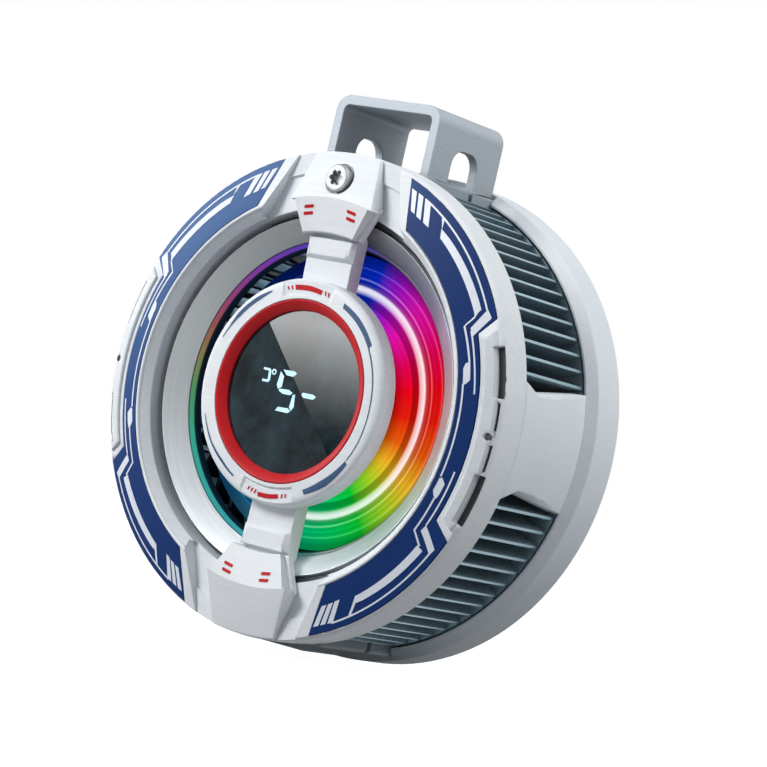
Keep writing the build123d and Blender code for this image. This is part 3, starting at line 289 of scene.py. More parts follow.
class Sheet:
    """One node tree, written from top to bottom."""

    def __init__(self, tree):
        self.tree = tree

    def node(self, kind, inputs={}, output=0, **settings):
        """A node, its settings made first, then its inputs; its output as a Value."""
        made = self.tree.nodes.new(kind)
        for key, value in settings.items():
            setattr(made, key, value)
        for key, value in inputs.items():
            if isinstance(value, Value):
                self.tree.links.new(value.socket, made.inputs[key])
            else:
                made.inputs[key].default_value = value
        return Value(self, made.outputs[output]) if made.outputs else None

    def mix(self, factor, first, second, blend="MIX"):
        """A colour between two colours."""
        inputs = {0: factor, 6: first, 7: second}
        return self.node("ShaderNodeMix", inputs, 2, data_type="RGBA", blend_type=blend, clamp_factor=True)

    def ramp(self, factor, stops):
        """A colour looked up on a ramp of (place, colour) pairs; a number stands for a grey."""
        made = self.node("ShaderNodeValToRGB", {"Fac": factor})
        elements = made.socket.node.color_ramp.elements
        while len(elements) > 1:
            elements.remove(elements[-1])
        for index, (spot, colour) in enumerate(stops):
            stop = elements.new(spot) if index else elements[0]
            stop.position = spot
            stop.color = (*colour, 1.0) if isinstance(colour, tuple) else grey(colour)
        return made

    def position(self):
        """Object coordinates, and the same split in three."""
        whole = self.node("ShaderNodeTexCoord", output="Object")
        split = self.node("ShaderNodeSeparateXYZ", {0: whole})
        return whole, [Value(self, split.socket.node.outputs[name]) for name in "XYZ"]

    def joined(self, x, y, z):
        """A vector from three values."""
        return self.node("ShaderNodeCombineXYZ", {0: x, 1: y, 2: z})

    def noise(self, vector, scale, detail=3.0, roughness=0.55):
        """Smooth noise from 0 to 1."""
        inputs = {"Vector": vector, "Scale": scale, "Detail": detail, "Roughness": roughness}
        return self.node("ShaderNodeTexNoise", inputs)

    def bump(self, height, strength, distance):
        """A normal tilted by a height."""
        inputs = {"Height": height, "Strength": strength, "Distance": distance}
        return self.node("ShaderNodeBump", inputs)


def blank_sheet(holder):
    """The emptied node tree of a material or of the world."""
    holder.use_nodes = True
    holder.node_tree.nodes.clear()
    return Sheet(holder.node_tree)


def material(name, shader):
    """A material whose surface is the shader that a function makes on its sheet."""
    made = bpy.data.materials.new(name)
    sheet = blank_sheet(made)
    sheet.node("ShaderNodeOutputMaterial", {"Surface": shader(sheet)})
    return made


print("a grey", grey(0.5))

# %% [markdown]
# A finish is a Principled shader. What is the same all over is written on its socket. Only what
# changes over the surface is fed by nodes: colour, roughness, bump and glow.

# %% A finish
finishes = {}


def finish(name, fixed, varying, *look):
    """A material: fixed socket values, and a function that returns the fed ones from a look."""
    def shader(sheet):
        return sheet.node("ShaderNodeBsdfPrincipled", {**fixed, **varying(sheet, *look)})
    finishes[name] = material(name, shader)


def finish_all(varying, table):
    """Plastics and paints, from rows of a specular level and a look."""
    for name, (specular, *look) in table.items():
        finish(name, {"Specular IOR Level": specular}, varying, *look)


def textured(sheet, colour, grain, rough, spread, tilt=0.12, relief=0.00002):
    """Colour, roughness and bump of a surface with a grain."""
    normal = sheet.bump(grain, tilt, relief)
    return {"Base Color": colour, "Roughness": rough + grain * spread, "Normal": normal}


print("no finishes yet", len(finishes))

# %% [markdown]
# ## Moulded shells
#
# The front ring, the hub and the pods are white plastic on which a raking light shows short
# level streaks. Noise that is stretched along X and squeezed along Z gives such streaks. The
# pillars, the guide blocks and the rear shell are the same plastic in a silver grey, and the
# guide blocks get a darker copy of it as painted shade.

# %% White and silver plastic
def streaked(sheet, dark, light, rough, streak=0.5):
    """Plastic with fine level streaks."""
    whole, (x, y, z) = sheet.position()
    lines = sheet.noise(sheet.joined(x * 110.0, y * 900.0, z * 2600.0), 1.0, 4.0)
    cloud = sheet.noise(whole, 60.0, 2.0)
    colour = sheet.ramp(lines * streak + cloud * (1.0 - streak), [(0.32, dark), (0.68, light)])
    return textured(sheet, colour, lines, rough, 0.14, 0.10, 0.00008)


finish_all(streaked, {
    "white_shell": (0.35, (0.68, 0.71, 0.74), (0.79, 0.81, 0.84), 0.42),
    "silver_shell": (0.2, (0.72, 0.76, 0.79), (0.80, 0.83, 0.86), 0.60, 0.4),
    # Painted shade: a darker copy of the silver plastic, for the guide blocks.
    "shaded_silver": (0.3, (0.26, 0.30, 0.33), (0.34, 0.38, 0.41), 0.45, 0.4),
    "grey_insert": (0.5, (0.60, 0.63, 0.66), (0.68, 0.71, 0.74), 0.38),
})
print("shell finishes", len(finishes))

# %% [markdown]
# The inlays are dark blue film, and their colour pales towards the upper left as a painted sheen.
# The rubber of the groove is painted paler towards the right, a painted highlight. All paints
# keep a faint grain, so that their highlights break up a little.

# %% Blue film, red lacquer and other paints
def grained(sheet, dark, light, rough, scale=900.0, relief=0.00002):
    """A colour with a fine even grain and slow clouds."""
    whole, _ = sheet.position()
    grain = sheet.noise(whole, scale)
    cloud = sheet.noise(whole, 45.0, 2.0)
    colour = sheet.ramp(grain * 0.35 + cloud * 0.65, [(0.3, dark), (0.7, light)])
    return textured(sheet, colour, grain, rough, 0.1, relief=relief)


def graded(sheet, side, stops, rough):
    """A grained colour that changes with a function of x and z."""
    whole, (x, _, z) = sheet.position()
    grain = sheet.noise(whole, 900.0)
    return textured(sheet, sheet.ramp(side(x, z) + grain * 0.06, stops), grain, rough, 0.1)


# Painted sheen: the blue of the inlays pales towards the upper left.
inlay_painted_sheen = (
    (0.0, (0.010, 0.036, 0.150)), (0.35, (0.012, 0.040, 0.160)),
    (0.75, (0.040, 0.095, 0.250)), (1.0, (0.090, 0.165, 0.340)),
)
# Painted highlight: the gasket's rubber is dark on the left and pales towards the right.
gasket_painted_light = ((0.45, (0.065, 0.08, 0.09)), (0.85, (0.34, 0.35, 0.37)))
finish_all(graded, {
    "blue_inlay": (0.05, lambda x, z: (z - x) * 18.0 + 0.1, inlay_painted_sheen, 0.34),
    "dark_gasket": (0.2, lambda x, z: x / 0.060 + 0.5, gasket_painted_light, 0.5),
})
finish_all(grained, {
    "red_trim": (0.16, (0.46, 0.008, 0.012), (0.60, 0.014, 0.020), 0.34),
    "black_plastic": (0.4, (0.010, 0.012, 0.014), (0.022, 0.025, 0.028), 0.5),
    "blade_plastic": (0.2, (0.003, 0.008, 0.014), (0.008, 0.016, 0.026), 0.4),
    "foam": (0.1, (0.03, 0.03, 0.03), (0.07, 0.07, 0.07), 0.85, 2600.0, 0.0001),
    "silicone": (0.3, (0.64, 0.66, 0.68), (0.72, 0.74, 0.76), 0.6),
    "ceramic": (0.4, (0.78, 0.78, 0.74), (0.86, 0.86, 0.83), 0.55),
    "board": (0.5, (0.008, 0.06, 0.028), (0.02, 0.12, 0.05), 0.3),
    "lamp": (0.5, (0.82, 0.80, 0.62), (0.92, 0.90, 0.80), 0.2),
    "white_ink": (0.4, (0.66, 0.70, 0.78), (0.76, 0.79, 0.86), 0.35),
    "red_ink": (0.12, (0.42, 0.008, 0.012), (0.54, 0.016, 0.020), 0.4),
    "blue_ink": (0.15, (0.040, 0.085, 0.17), (0.055, 0.11, 0.21), 0.4),
})
print("finishes", len(finishes))

# %% [markdown]
# ## Metals
#
# The cone round the opening is turned aluminium. A lathe tool leaves rings, so the noise is
# looked up by radius in fine steps and by angle in long ones. The hoop and the fins are rolled
# sheet with straight grain.

# %% Turned and rolled metal
def turned(sheet, dark, light, rough, shades=((0.0, 1.0),)):
    """Rings as a lathe tool leaves them, and painted shade that darkens the colour from the low right to the
    top left.
    """
    _, (x, y, z) = sheet.position()
    radius = (x * x + z * z).math("SQRT")
    angle = z.math("ARCTAN2", x)
    rings = sheet.noise(sheet.joined(radius * 5200.0, angle * 2.5, y * 5200.0), 1.0)
    rise = z * 0.85 - x.math("MAXIMUM", 0.0) * 1.7
    tone = sheet.ramp(rings, [(0.3, dark), (0.7, light)])
    colour = sheet.mix(1.0, tone, sheet.ramp(rise / 0.052 + 0.5, shades), "MULTIPLY")
    return textured(sheet, colour, rings, rough, 0.16, 0.22, 0.00006)


def rolled(sheet, dark, light, rough):
    """Straight grain along X."""
    _, (x, y, z) = sheet.position()
    grain = sheet.noise(sheet.joined(x * 90.0, y * 2400.0, z * 2400.0), 1.0, 4.0)
    colour = sheet.ramp(grain, [(0.3, dark), (0.7, light)])
    return textured(sheet, colour, grain, rough, 0.14, 0.16, 0.00006)


# Painted shade on the cone: these stops multiply its colour down towards the top left.
cone_painted_shade = ((0.0, 1.0), (0.12, 0.70), (0.25, 0.63), (0.5, 0.43), (0.9, 0.25))
turned_metals = {
    "cone_alloy": ((0.70, 0.76, 0.80), (0.84, 0.88, 0.90), 0.34, cone_painted_shade),
    "cold_alloy": ((0.66, 0.67, 0.69), (0.78, 0.79, 0.80), 0.24),
    "polished_steel": ((0.62, 0.62, 0.62), (0.70, 0.70, 0.70), 0.12),
    "motor_steel": ((0.42, 0.42, 0.43), (0.54, 0.54, 0.55), 0.28),
    "dark_steel": ((0.26, 0.27, 0.28), (0.33, 0.34, 0.35), 0.40),
    "bronze": ((0.42, 0.26, 0.12), (0.56, 0.37, 0.19), 0.38),
}
rolled_metals = {
    "magnet": ((0.48, 0.48, 0.50), (0.58, 0.58, 0.60), 0.25),
    "lamination": ((0.20, 0.20, 0.22), (0.32, 0.32, 0.34), 0.4),
    "copper": ((0.58, 0.24, 0.10), (0.74, 0.36, 0.18), 0.3),
    "socket_steel": ((0.50, 0.51, 0.52), (0.62, 0.62, 0.63), 0.28),
    "hoop_alloy": ((0.27, 0.300, 0.330), (0.325, 0.355, 0.385), 0.62),
    "fin_alloy": ((0.22, 0.31, 0.36), (0.30, 0.40, 0.45), 0.42),
}
for varying, metals in ((turned, turned_metals), (rolled, rolled_metals)):
    for name, look in metals.items():
        finish(name, {"Metallic": 1.0}, varying, *look)
print("finishes", len(finishes))

# %% [markdown]
# ## Light
#
# Behind the hub, a clear disc is lit from its middle by a ring of lamps of all colours, and
# its V ridges throw the light forward. The hue is a ramp over the angle, and the brightness is
# a ramp over the radius. The glow is the disc's own, but its rings of brightness and one nearly
# white band are painted highlights.

# %% Rainbow light
def from_axis(sheet):
    """Angle round the axis from 0 to 1, clockwise from the top, and the radius in mm."""
    _, (x, _, z) = sheet.position()
    share = (x.math("ARCTAN2", z) / tau + 1.0).math("FRACT")
    return share, (x * x + z * z).math("SQRT") * 1000.0


rainbow = [
    (0.0, (0.0, 0.02, 0.38)), (0.035, (0.002, 0.025, 0.56)), (0.064, (0.3, 0.008, 0.6)),
    (0.112, (0.78, 0.006, 0.4)), (0.167, (0.8, 0.001, 0.09)), (0.208, (0.88, 0.001, 0.01)),
    (0.25, (0.85, 0.012, 0.003)), (0.292, (0.86, 0.11, 0.004)), (0.333, (0.9, 0.52, 0.02)),
    (0.37, (0.38, 0.68, 0.02)), (0.41, (0.002, 0.6, 0.03)), (0.458, (0.0, 0.58, 0.13)),
    (0.52, (0.0, 0.42, 0.22)), (0.583, (0.0, 0.11, 0.22)), (0.75, (0.0, 0.05, 0.26)),
    (0.917, (0.0, 0.008, 0.14)), (1.0, (0.0, 0.02, 0.38)),
]
# The glow's rings of brightness: painted highlight and shade of the ridges.
bands = [
    (12.2, 0.4), (13.4, 0.72), (14.1, 0.95), (14.5, 0.8), (14.9, 1.0), (15.3, 0.42), (15.9, 0.46),
    (16.4, 0.7), (16.8, 1.0), (17.6, 1.0), (17.9, 0.55), (18.3, 0.62), (18.7, 1.1), (19.0, 0.66),
    (19.5, 0.92), (19.8, 0.6), (20.3, 0.95), (20.6, 0.6), (21.0, 0.55), (21.5, 0.4),
]
# Painted highlight: a nearly white band in the glow.
painted_highlight_band = [
    (16.3, 0.0), (16.7, 0.5), (17.1, 0.98), (17.5, 0.92), (17.8, 0.1), (18.2, 0.0), (18.5, 0.0),
    (18.7, 0.22), (18.9, 0.0), (20.2, 0.0), (20.3, 0.1), (20.4, 0.0),
]


def over_radius(sheet, radius, table):
    """A brightness looked up by radius, between 12 and 22 mm."""
    return sheet.ramp((radius - 12.0) / 10.0, [((r - 12.0) / 10.0, v) for r, v in table])


def glowing_disc(sheet):
    """Hue by angle, brightness by radius, and a painted highlight: one band almost white."""
    share, radius = from_axis(sheet)
    hue = sheet.ramp(share, rainbow)
    tinted = sheet.mix(0.80, hue, (0.97, 0.97, 1.0, 1.0))
    pale = sheet.mix(over_radius(sheet, radius, painted_highlight_band), hue, tinted)
    light = sheet.mix(over_radius(sheet, radius, bands), grey(0.0), pale)
    return {"Base Color": sheet.mix(0.97, hue, grey(0.001)), "Emission Color": light}


# Painted light: hues of the lip, by height.
lip_painted_light_hues = [
    (0.08, (0.01, 0.30, 0.34)), (0.30, (0.02, 0.42, 0.28)), (0.45, (0.08, 0.34, 0.12)),
    (0.56, (0.30, 0.24, 0.07)), (0.66, (0.42, 0.10, 0.09)), (0.74, (0.40, 0.06, 0.22)),
    (0.86, (0.25, 0.04, 0.48)), (0.97, (0.05, 0.05, 0.55)),
]


def lip_painted_light(sheet):
    """Painted light: the edge glows in the hues of the lamps on the left only, and painted shade dulls it on
    the right and inside.
    """
    _, (x, _, z) = sheet.position()
    _, radius = from_axis(sheet)
    hue = sheet.ramp(z / 0.050 + 0.5, lip_painted_light_hues)
    shaded = sheet.ramp(x / 0.050 + 0.5, [(0.50, 0.0), (0.68, 1.0)])
    light = sheet.mix(shaded, hue, (0.05, 0.03, 0.05, 1.0))
    base = sheet.mix(shaded, sheet.mix(0.25, hue, grey(0.15)), grey(0.30))
    rim = sheet.ramp((radius - 22.0) / 2.0, [(0.40, 0.0), (0.46, 1.0)])
    dark = (0.004, 0.010, 0.018, 1.0)
    return {"Base Color": sheet.mix(rim, dark, base), "Emission Color": sheet.mix(rim, dark, light)}


disc_fixed = {"Roughness": 0.2, "Emission Strength": 1.0, "Specular IOR Level": 0.01}
lip_fixed = {"Roughness": 0.3, "Emission Strength": 0.45, "Specular IOR Level": 0.15}
finish("light_disc", disc_fixed, glowing_disc)
finish("light_guide", lip_fixed, lip_painted_light)
print("lit finishes", len(finishes))

# %% [markdown]
# The display window is smoked glass over a dark screen, with a faint cloud of leaking
# backlight. The digits glow pale blue, a little uneven, as real segments do.

# %% Window and digits
def smoked(sheet):
    """Nearly black, with slow blue-grey clouds."""
    cloud = sheet.noise(sheet.position()[0], 170.0, 4.0, 0.6)
    return {"Base Color": sheet.ramp(cloud, [(0.40, (0.004, 0.008, 0.011)), (0.75, (0.024, 0.052, 0.066))])}


def glowing_digits(sheet):
    """Pale blue that varies a little."""
    cloud = sheet.noise(sheet.position()[0], 900.0, 2.0)
    glow = sheet.ramp(cloud, [(0.3, (0.40, 0.66, 0.80)), (0.7, (0.55, 0.78, 0.88))])
    return {"Base Color": glow, "Emission Color": glow}


digit_fixed = {"Roughness": 0.5, "Emission Strength": 0.5, "Specular IOR Level": 0.1}
finish("smoked_window", {"Roughness": 0.0, "Specular IOR Level": 0.2}, smoked)
finish("lit_digits", digit_fixed, glowing_digits)
print("finishes", len(finishes))

# %% [markdown]
# ## Shells and trim
#
# These pieces take their shape from the model and their edges from the Bevel modifier. Each row
# has a finish, how far edges are rounded in millimetres, and the nodes: a moulded shell is
# rounded more than a turned part.

# %% Soft copies of the shells
def dress(piece, slot, *replaced, body="housing"):
    """Gives a piece its finish and its body, and hides the nodes that it stands for."""
    piece.data.materials.clear()
    piece.data.materials.append(finishes[slot])
    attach(piece, body)
    if replaced:
        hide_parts(*replaced)
    return piece


pod_foot = -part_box("top_pod")[1][1] / mm
head_seat = 31.3


def beside_arms(spot):
    """The recesses beside the arms, whose walls are lower than a rounded edge is wide."""
    return abs(spot.x) < 15.0 * mm and abs(spot.z) > 24.0 * mm


def under_head(spot):
    """The seam between the arms and the head of the hub."""
    return Vector((spot.x, spot.z)).length < 16.9 * mm and -spot.y > (head_seat - 0.1) * mm


crisp_spots = {"front_ring": beside_arms, "hub_bridge": under_head}
deep_slots = ((8.2, 20.1), (-22.0, -9.6))
shallow_slots = ((0.8, 7.6), (-9.0, -2.4))
soft_shells = (
    ("white_shell", 0.16, "front_ring"),
    ("white_shell", 0.18, "hub_bridge"),
    ("blue_inlay", 0.06, "left_inlay", "right_inlay"),
    ("red_trim", 0.08, "red_bezel"),
    ("smoked_window", 0.06, "display_lens"),
    ("dark_steel", 0.10, "pod_screw"),
    ("hoop_alloy", 0.14, "hoop"),
    ("shaded_silver", 0.16, "top_front_guide", "top_rear_guide", "bottom_front_guide", "bottom_rear_guide"),
    ("silver_shell", 0.16, "left_pillar", "right_pillar"),
    ("silver_shell", 0.20, "rear_shell"),
    ("cone_alloy", 0.08, "brushed_cone"),
    ("dark_gasket", 0.06, "groove_gasket"),
    ("light_guide", 0.06, "light_guide_ring"),
    ("cold_alloy", 0.12, "cold_plate"),
    ("silicone", 0.12, "contact_pad"),
    ("socket_steel", 0.05, "usb_inlet"),
)


def with_slots(ring):
    """The front ring with room for the pods' rims and with the slots at its sides."""
    for side in (1, -1):
        corners = [(-6.0, side * 35.2), (6.0, side * 35.2), (5.8, side * 37.0), (-5.8, side * 37.0)]
        carved(ring, prism("pod_rim_room", corners, pod_foot, 34.0))
        for angles in deep_slots:
            carved(ring, prism("slot", arc_corners(34.72, 35.9, *angles, side), 30.0, 34.0))
        for angles in shallow_slots:
            carved(ring, prism("groove", arc_corners(35.15, 35.55, *angles, side), 30.7, 34.0))


dressed = {}
for slot, width, node in [(slot, width, node) for slot, width, *group in soft_shells for node in group]:
    piece = merged(node)
    if node == "front_ring":
        with_slots(piece)
    if node == "hub_bridge":
        head_room = [(16.72, head_seat), (16.72, 34.0), (13.4, 34.0), (13.4, head_seat)]
        carved(piece, lathe("head_room", head_room))
    softened(piece, width, crisp=crisp_spots.get(node))
    dress(piece, slot, node, body="hoop" if node == "hoop" else "housing")
    dressed[node] = piece
    print(node, len(piece.data.polygons), "faces")

# %% [markdown]
# The head of the hub is a turned ring with a round shoulder. Above and below the display it
# is sunk by a hair over a short arc, and the red marks are printed there. The side inserts are
# bent bars with a notch in their outer edge. The row of slots follows that edge, and the deep
# ones cut into it.

# %% Head of the hub and side inserts
shoulder = [
    (16.7, 32.4), (16.68, 32.62), (16.58, 32.85), (16.4, 33.05), (16.15, 33.2), (15.8, 33.3),
    (15.4, 33.34), (14.9, 33.36),
]
head_foot = [(13.6, head_seat), (16.7, head_seat)]
head = lathe("hub_head", head_foot + shoulder + [(13.68, 33.44), (13.6, 33.4)])
for start, end in ((75.6, 109.0), (-107.0, -72.6)):
    low = arc_corners(14.3, 17.3, start, end)
    high = arc_corners(13.9, 17.3, start - 3.4, end + 3.0)
    carved(head, prism("sunk_arc", low, 33.1, 33.7, high))
smoothed(head, 24.0)
dress(head, "white_shell")
dressed["hub_head"] = head
print("hub_head", len(head.data.polygons), "faces")

insert_section = [(33.2, 31.8), (35.26, 31.36), (35.26, 31.6), (35.06, 31.87), (33.45, 32.31), (33.2, 32.14)]
notch_x, notch_y = 34.85, -0.45


def bent_bar(name, side):
    """A side insert: its section carried along an arc, with slanted ends."""
    rows = []
    for step in range(49):
        reaches = [(22.5 + 0.7 * (radius - 33.1)) * (step / 24 - 1) for radius, _ in insert_section]
        spots = [(*polar(radius, reach), depth) for (radius, depth), reach in zip(insert_section, reaches)]
        rows.append([front(side * x, y, depth) for x, y, depth in spots])
    return lofted(name, rows)


for side, label in ((1, "right"), (-1, "left")):
    bar = bent_bar("dressed_" + label + "_insert", side)
    carved(bar, prism("notch", disc_corners(side * notch_x, notch_y, 0.56, 16), 31.0, 34.0))
    for angles in deep_slots:
        carved(bar, prism("slot", arc_corners(34.72, 35.6, *angles, side), 31.0, 34.0))
    softened(bar, 0.08)
    dress(bar, "grey_insert", label + "_side_insert")

# %% [markdown]
# The pods over the ends of the arms are roof-shaped, and on the real cover their edges follow
# circles round the fan. Each half of the roof is a wedge between two arcs, the foot is a wider
# wedge, and a union makes the three one body before its edges are rounded.

# %% Pods with curved edges
def wedge(name, side, outer, inner, low):
    """A block between two arcs; each is (radius, half width, depth of its top)."""
    shape = bmesh.new()
    rows = []
    for radius, half, depth in (outer, inner):
        xs = [half * (step / 8 - 1) for step in range(17)]
        spots = [(x, side * (radius * radius - x * x) ** 0.5) for x in xs]
        rows.append([[shape.verts.new(front(x, y, level)) for level in (depth, low)] for x, y in spots])
    for step in range(16):
        (a, b), (c, d) = rows[0][step:step + 2]
        (e, f), (g, h) = rows[1][step:step + 2]
        for corners in ((a, c, g, e), (b, f, h, d), (a, b, d, c), (e, g, h, f)):
            shape.faces.new(corners)
    for (a, b), (e, f) in ((rows[0][0], rows[1][0]), (rows[0][-1], rows[1][-1])):
        shape.faces.new((a, e, f, b))
    return as_object(name, shape)


rim, ridge, nose = (35.85, 5.9, 31.5), (28.7, 7.6, 33.45), (23.65, 4.6, 32.6)
screw_x, screw_y = 0.0, 31.7
for side, node in ((1, "top_pod"), (-1, "bottom_pod")):
    pod = wedge("dressed_" + node, side, rim, ridge, pod_foot)
    carved(pod, wedge("lower_roof", side, (28.75, 6.9, 33.44), nose, pod_foot), "UNION")
    carved(pod, wedge("sole", side, (29.4, 7.75, 31.7), (23.75, 5.4, 31.7), pod_foot), "UNION")
    if node == "top_pod":
        carved(pod, prism("screw_spot", disc_corners(screw_x, screw_y, 2.35), 31.6, 40.0))
        carved(pod, prism("screw_hole", disc_corners(screw_x, screw_y, 1.1, 24), 20.0, 40.0))
    softened(pod, 0.2, 24.0)
    dress(pod, "white_shell", node)
    dressed[node] = pod
    print(node, len(pod.data.polygons), "faces")

# %% [markdown]
# ## Radial fins
#
# The heat sink is a disc with ninety thin fins round the blower. That is one shape repeated by
# a rule, so Geometry Nodes make it: a line along the radius is swept with a small rounded
# section, set out on as many turned points as there are fins, and made real. The trees are
# drawn flat, in the front view, and stood up at their end.

# %% Trees for what repeats
def new_tree(name, sizes):
    """An empty geometry tree with named inputs, and those inputs as values."""
    tree = bpy.data.node_groups.new(name, "GeometryNodeTree")
    tree.interface.new_socket("Geometry", in_out="OUTPUT", socket_type="NodeSocketGeometry")
    kinds = {int: "NodeSocketInt", float: "NodeSocketFloat"}
    for label, value in sizes.items():
        kind = kinds.get(type(value), "NodeSocketMaterial")
        tree.interface.new_socket(label, in_out="INPUT", socket_type=kind)
    sheet = Sheet(tree)
    entry = sheet.node("NodeGroupInput").socket.node
    return sheet, {label: Value(sheet, entry.outputs[label]) for label in sizes}


def mid_depth(size):
    """Depth of the middle of a blade or fin."""
    return (size["Top depth"] + size["Foot depth"]) * 0.5


def turn_by_index(sheet, size):
    """The angle of each of the copies, spread evenly round the axis."""
    return sheet.node("GeometryNodeInputIndex") / size["Copies"] * tau


def swept(sheet, size, path):
    """A flat section with round corners, swept along a path."""
    values = {"Width": size["Thickness"], "Height": size["Top depth"] - size["Foot depth"]}
    section = sheet.node("GeometryNodeCurvePrimitiveQuadrilateral", values)
    values = {"Curve": section, "Radius": size["Thickness"] * 0.3, "Count": 2}
    section = sheet.node("GeometryNodeFilletCurve", values, mode="POLY")
    values = {"Curve": path, "Profile Curve": section, "Fill Caps": True}
    return sheet.node("GeometryNodeCurveToMesh", values)


def set_out(sheet, size, shape, angle, chosen=True):
    """Copies of a shape, turned by an angle, where they are chosen."""
    points = sheet.node("GeometryNodePoints", {"Count": size["Copies"]})
    turn = sheet.node("FunctionNodeEulerToRotation", {0: sheet.joined(0.0, 0.0, angle)})
    values = {"Points": points, "Selection": chosen, "Instance": shape, "Rotation": turn}
    return sheet.node("GeometryNodeInstanceOnPoints", values)


def grown(name, sheet, geometry, size, sizes):
    """Ends the tree, stood up, real and with its finish, and gives its result as a plain piece."""
    stood = sheet.node("GeometryNodeTransform", {"Geometry": geometry, "Rotation": (pi / 2, 0.0, 0.0)})
    real = sheet.node("GeometryNodeRealizeInstances", {0: stood})
    painted = sheet.node("GeometryNodeSetMaterial", {"Geometry": real, "Material": size["Finish"]})
    sheet.node("NodeGroupOutput", {0: painted})
    piece = linked(name, bpy.data.meshes.new(name))
    modifier = modify(piece, "NODES", node_group=sheet.tree)
    for item in sheet.tree.interface.items_tree:
        if item.item_type == "SOCKET" and item.in_out == "INPUT":
            modifier[item.identifier] = sizes[item.name]
    baked(piece)
    print(name, len(piece.data.polygons), "faces", [round(side / mm, 2) for side in piece.dimensions])
    return piece


print("trees end with a turn of", pi / 2)

# %% [markdown]
# Beside the two pillars the fins are shorter, so the tree sets out two lengths, each where a
# selection by angle says so.

# %% Fins by rule
fin_sizes = {
    "Copies": 90,
    "Thickness": 0.42 * mm,
    "Inner radius": 28.0 * mm,
    "Outer radius": 35.0 * mm,
    "Short radius": 33.3 * mm,
    "Short half angle": radians(15.5),
    "Foot depth": 9.1 * mm,
    "Top depth": 24.3 * mm,
    "Finish": finishes["fin_alloy"],
}
sheet, size = new_tree("radial_fins", fin_sizes)
angle, middle = turn_by_index(sheet, size), mid_depth(size)
beside_pillar = angle.math("COSINE").math("ABSOLUTE") > size["Short half angle"].math("COSINE")
both = sheet.node("GeometryNodeJoinGeometry")
start = sheet.joined(size["Inner radius"], 0.0, middle)
for reach, chosen in (("Outer radius", 1.0 - beside_pillar), ("Short radius", beside_pillar)):
    ends = {"Start": start, "End": sheet.joined(size[reach], 0.0, middle)}
    fin = swept(sheet, size, sheet.node("GeometryNodeCurvePrimitiveLine", ends))
    copies = set_out(sheet, size, fin, angle, chosen)
    sheet.tree.links.new(copies.socket, both.socket.node.inputs[0])
fins = grown("radial_fins", sheet, both, size, fin_sizes)

# %% [markdown]
# The guide blocks of the hoop and the socket take the place of some fins, so their room is cut
# out. The base disc lies under them, and the same blocks are let into its rim.

# %% Room for the blocks, and the base
guide_room = 10.6
base = prism("heat_sink_base", disc_corners(0.0, 0.0, 35.0, 180), 7.3, 9.15)
for side in (1, -1):
    corners = box_corners(-guide_room, side * 26.0, guide_room, side * 37.0)
    carved(fins, prism("guide_room", corners, 7.0, 26.0))
    corners = box_corners(-guide_room, side * 27.3, guide_room, side * 37.0)
    carved(base, prism("guide_foot_room", corners, 7.8, 9.5))
carved(fins, prism("socket_room", box_corners(-37.0, -5.5, -26.0, 5.5), 14.1, 26.0))
smoothed(base)
print("fins left", len(fins.data.polygons), "faces, base", len(base.data.polygons), "faces")
dress(fins, "fin_alloy", "radial_heatsink")
dress(base, "fin_alloy")

# %% [markdown]
# ## Blower wheel
#
# Thirty-three thin blades stand on the rim of the wheel, bowed and leaning back. Again one
# blade and a rule: an arc from root to tip, swept with a flat section and turned round the axis.

# %% Blades by rule
blade_sizes = {
    "Copies": 33,
    "Thickness": 0.6 * mm,
    "Root radius": 21.9 * mm,
    "Tip radius": 25.9 * mm,
    "Lean": radians(7.0),
    "Bow": 0.5 * mm,
    "Foot depth": 12.1 * mm,
    "Top depth": 23.4 * mm,
    "Finish": finishes["blade_plastic"],
}
sheet, size = new_tree("blower_blades", blade_sizes)
middle = mid_depth(size)
half_lean = size["Lean"] * 0.5
mean = (size["Root radius"] + size["Tip radius"]) * 0.5
bow_x = mean * half_lean.math("COSINE") - size["Bow"] * half_lean.math("SINE")
bow_y = mean * half_lean.math("SINE") + size["Bow"] * half_lean.math("COSINE")
tip_x, tip_y = [size["Tip radius"] * size["Lean"].math(part) for part in ("COSINE", "SINE")]
arc = sheet.node("GeometryNodeCurveArc", {
    "Resolution": 9,
    "Start": sheet.joined(size["Root radius"], 0.0, middle),
    "Middle": sheet.joined(bow_x, bow_y, middle),
    "End": sheet.joined(tip_x, tip_y, middle),
}, mode="POINTS")
wheel = set_out(sheet, size, swept(sheet, size, arc), turn_by_index(sheet, size))
blades = grown("blower_blades", sheet, wheel, size, blade_sizes)
tip_section = [(24.8, 22.9), (26.0, 22.9), (26.0, 23.45), (25.8, 23.5), (25.0, 23.5), (24.8, 23.45)]
tip_ring = lathe("blade_tip_ring", tip_section)
dress(blades, "blade_plastic", "blade_ring", body="rotor")
dress(tip_ring, "blade_plastic", body="rotor")

# %% [markdown]
# ## The lit disc
#
# The disc's front is a row of shallow V ridges round the hub. On the lathe this is one zigzag
# section. Its outer edge is a little round, where it catches the light.

# %% Disc with ridges
ridge_start, ridge_end, ridge_count = 13.4, 20.9, 7
pitch = (ridge_end - ridge_start) / ridge_count
zigzag = []
for ridge in range(ridge_count):
    foot = ridge_start + ridge * pitch
    valley = [(foot + pitch * 0.44, 23.54), (foot + pitch / 2, 23.5), (foot + pitch * 0.56, 23.54)]
    zigzag += [(foot, 24.0)] + valley
disc_back = [(1.75, 22.45), (12.9, 22.45), (12.9, 23.15), (21.4, 23.15), (21.4, 23.6)]
disc_rim = [(22.0, 23.6), (22.15, 23.7), (22.15, 23.88), (22.0, 24.0)]
disc = lathe("ridged_light_disc", disc_back + disc_rim + zigzag[::-1] + [(1.75, 24.0)], 192)
dress(disc, "light_disc", "light_disc", body="rotor")
print("disc", len(disc.data.polygons), "faces")

# %% [markdown]
# ## The other nodes
#
# What is left of the model keeps its own mesh and only gets a finish.

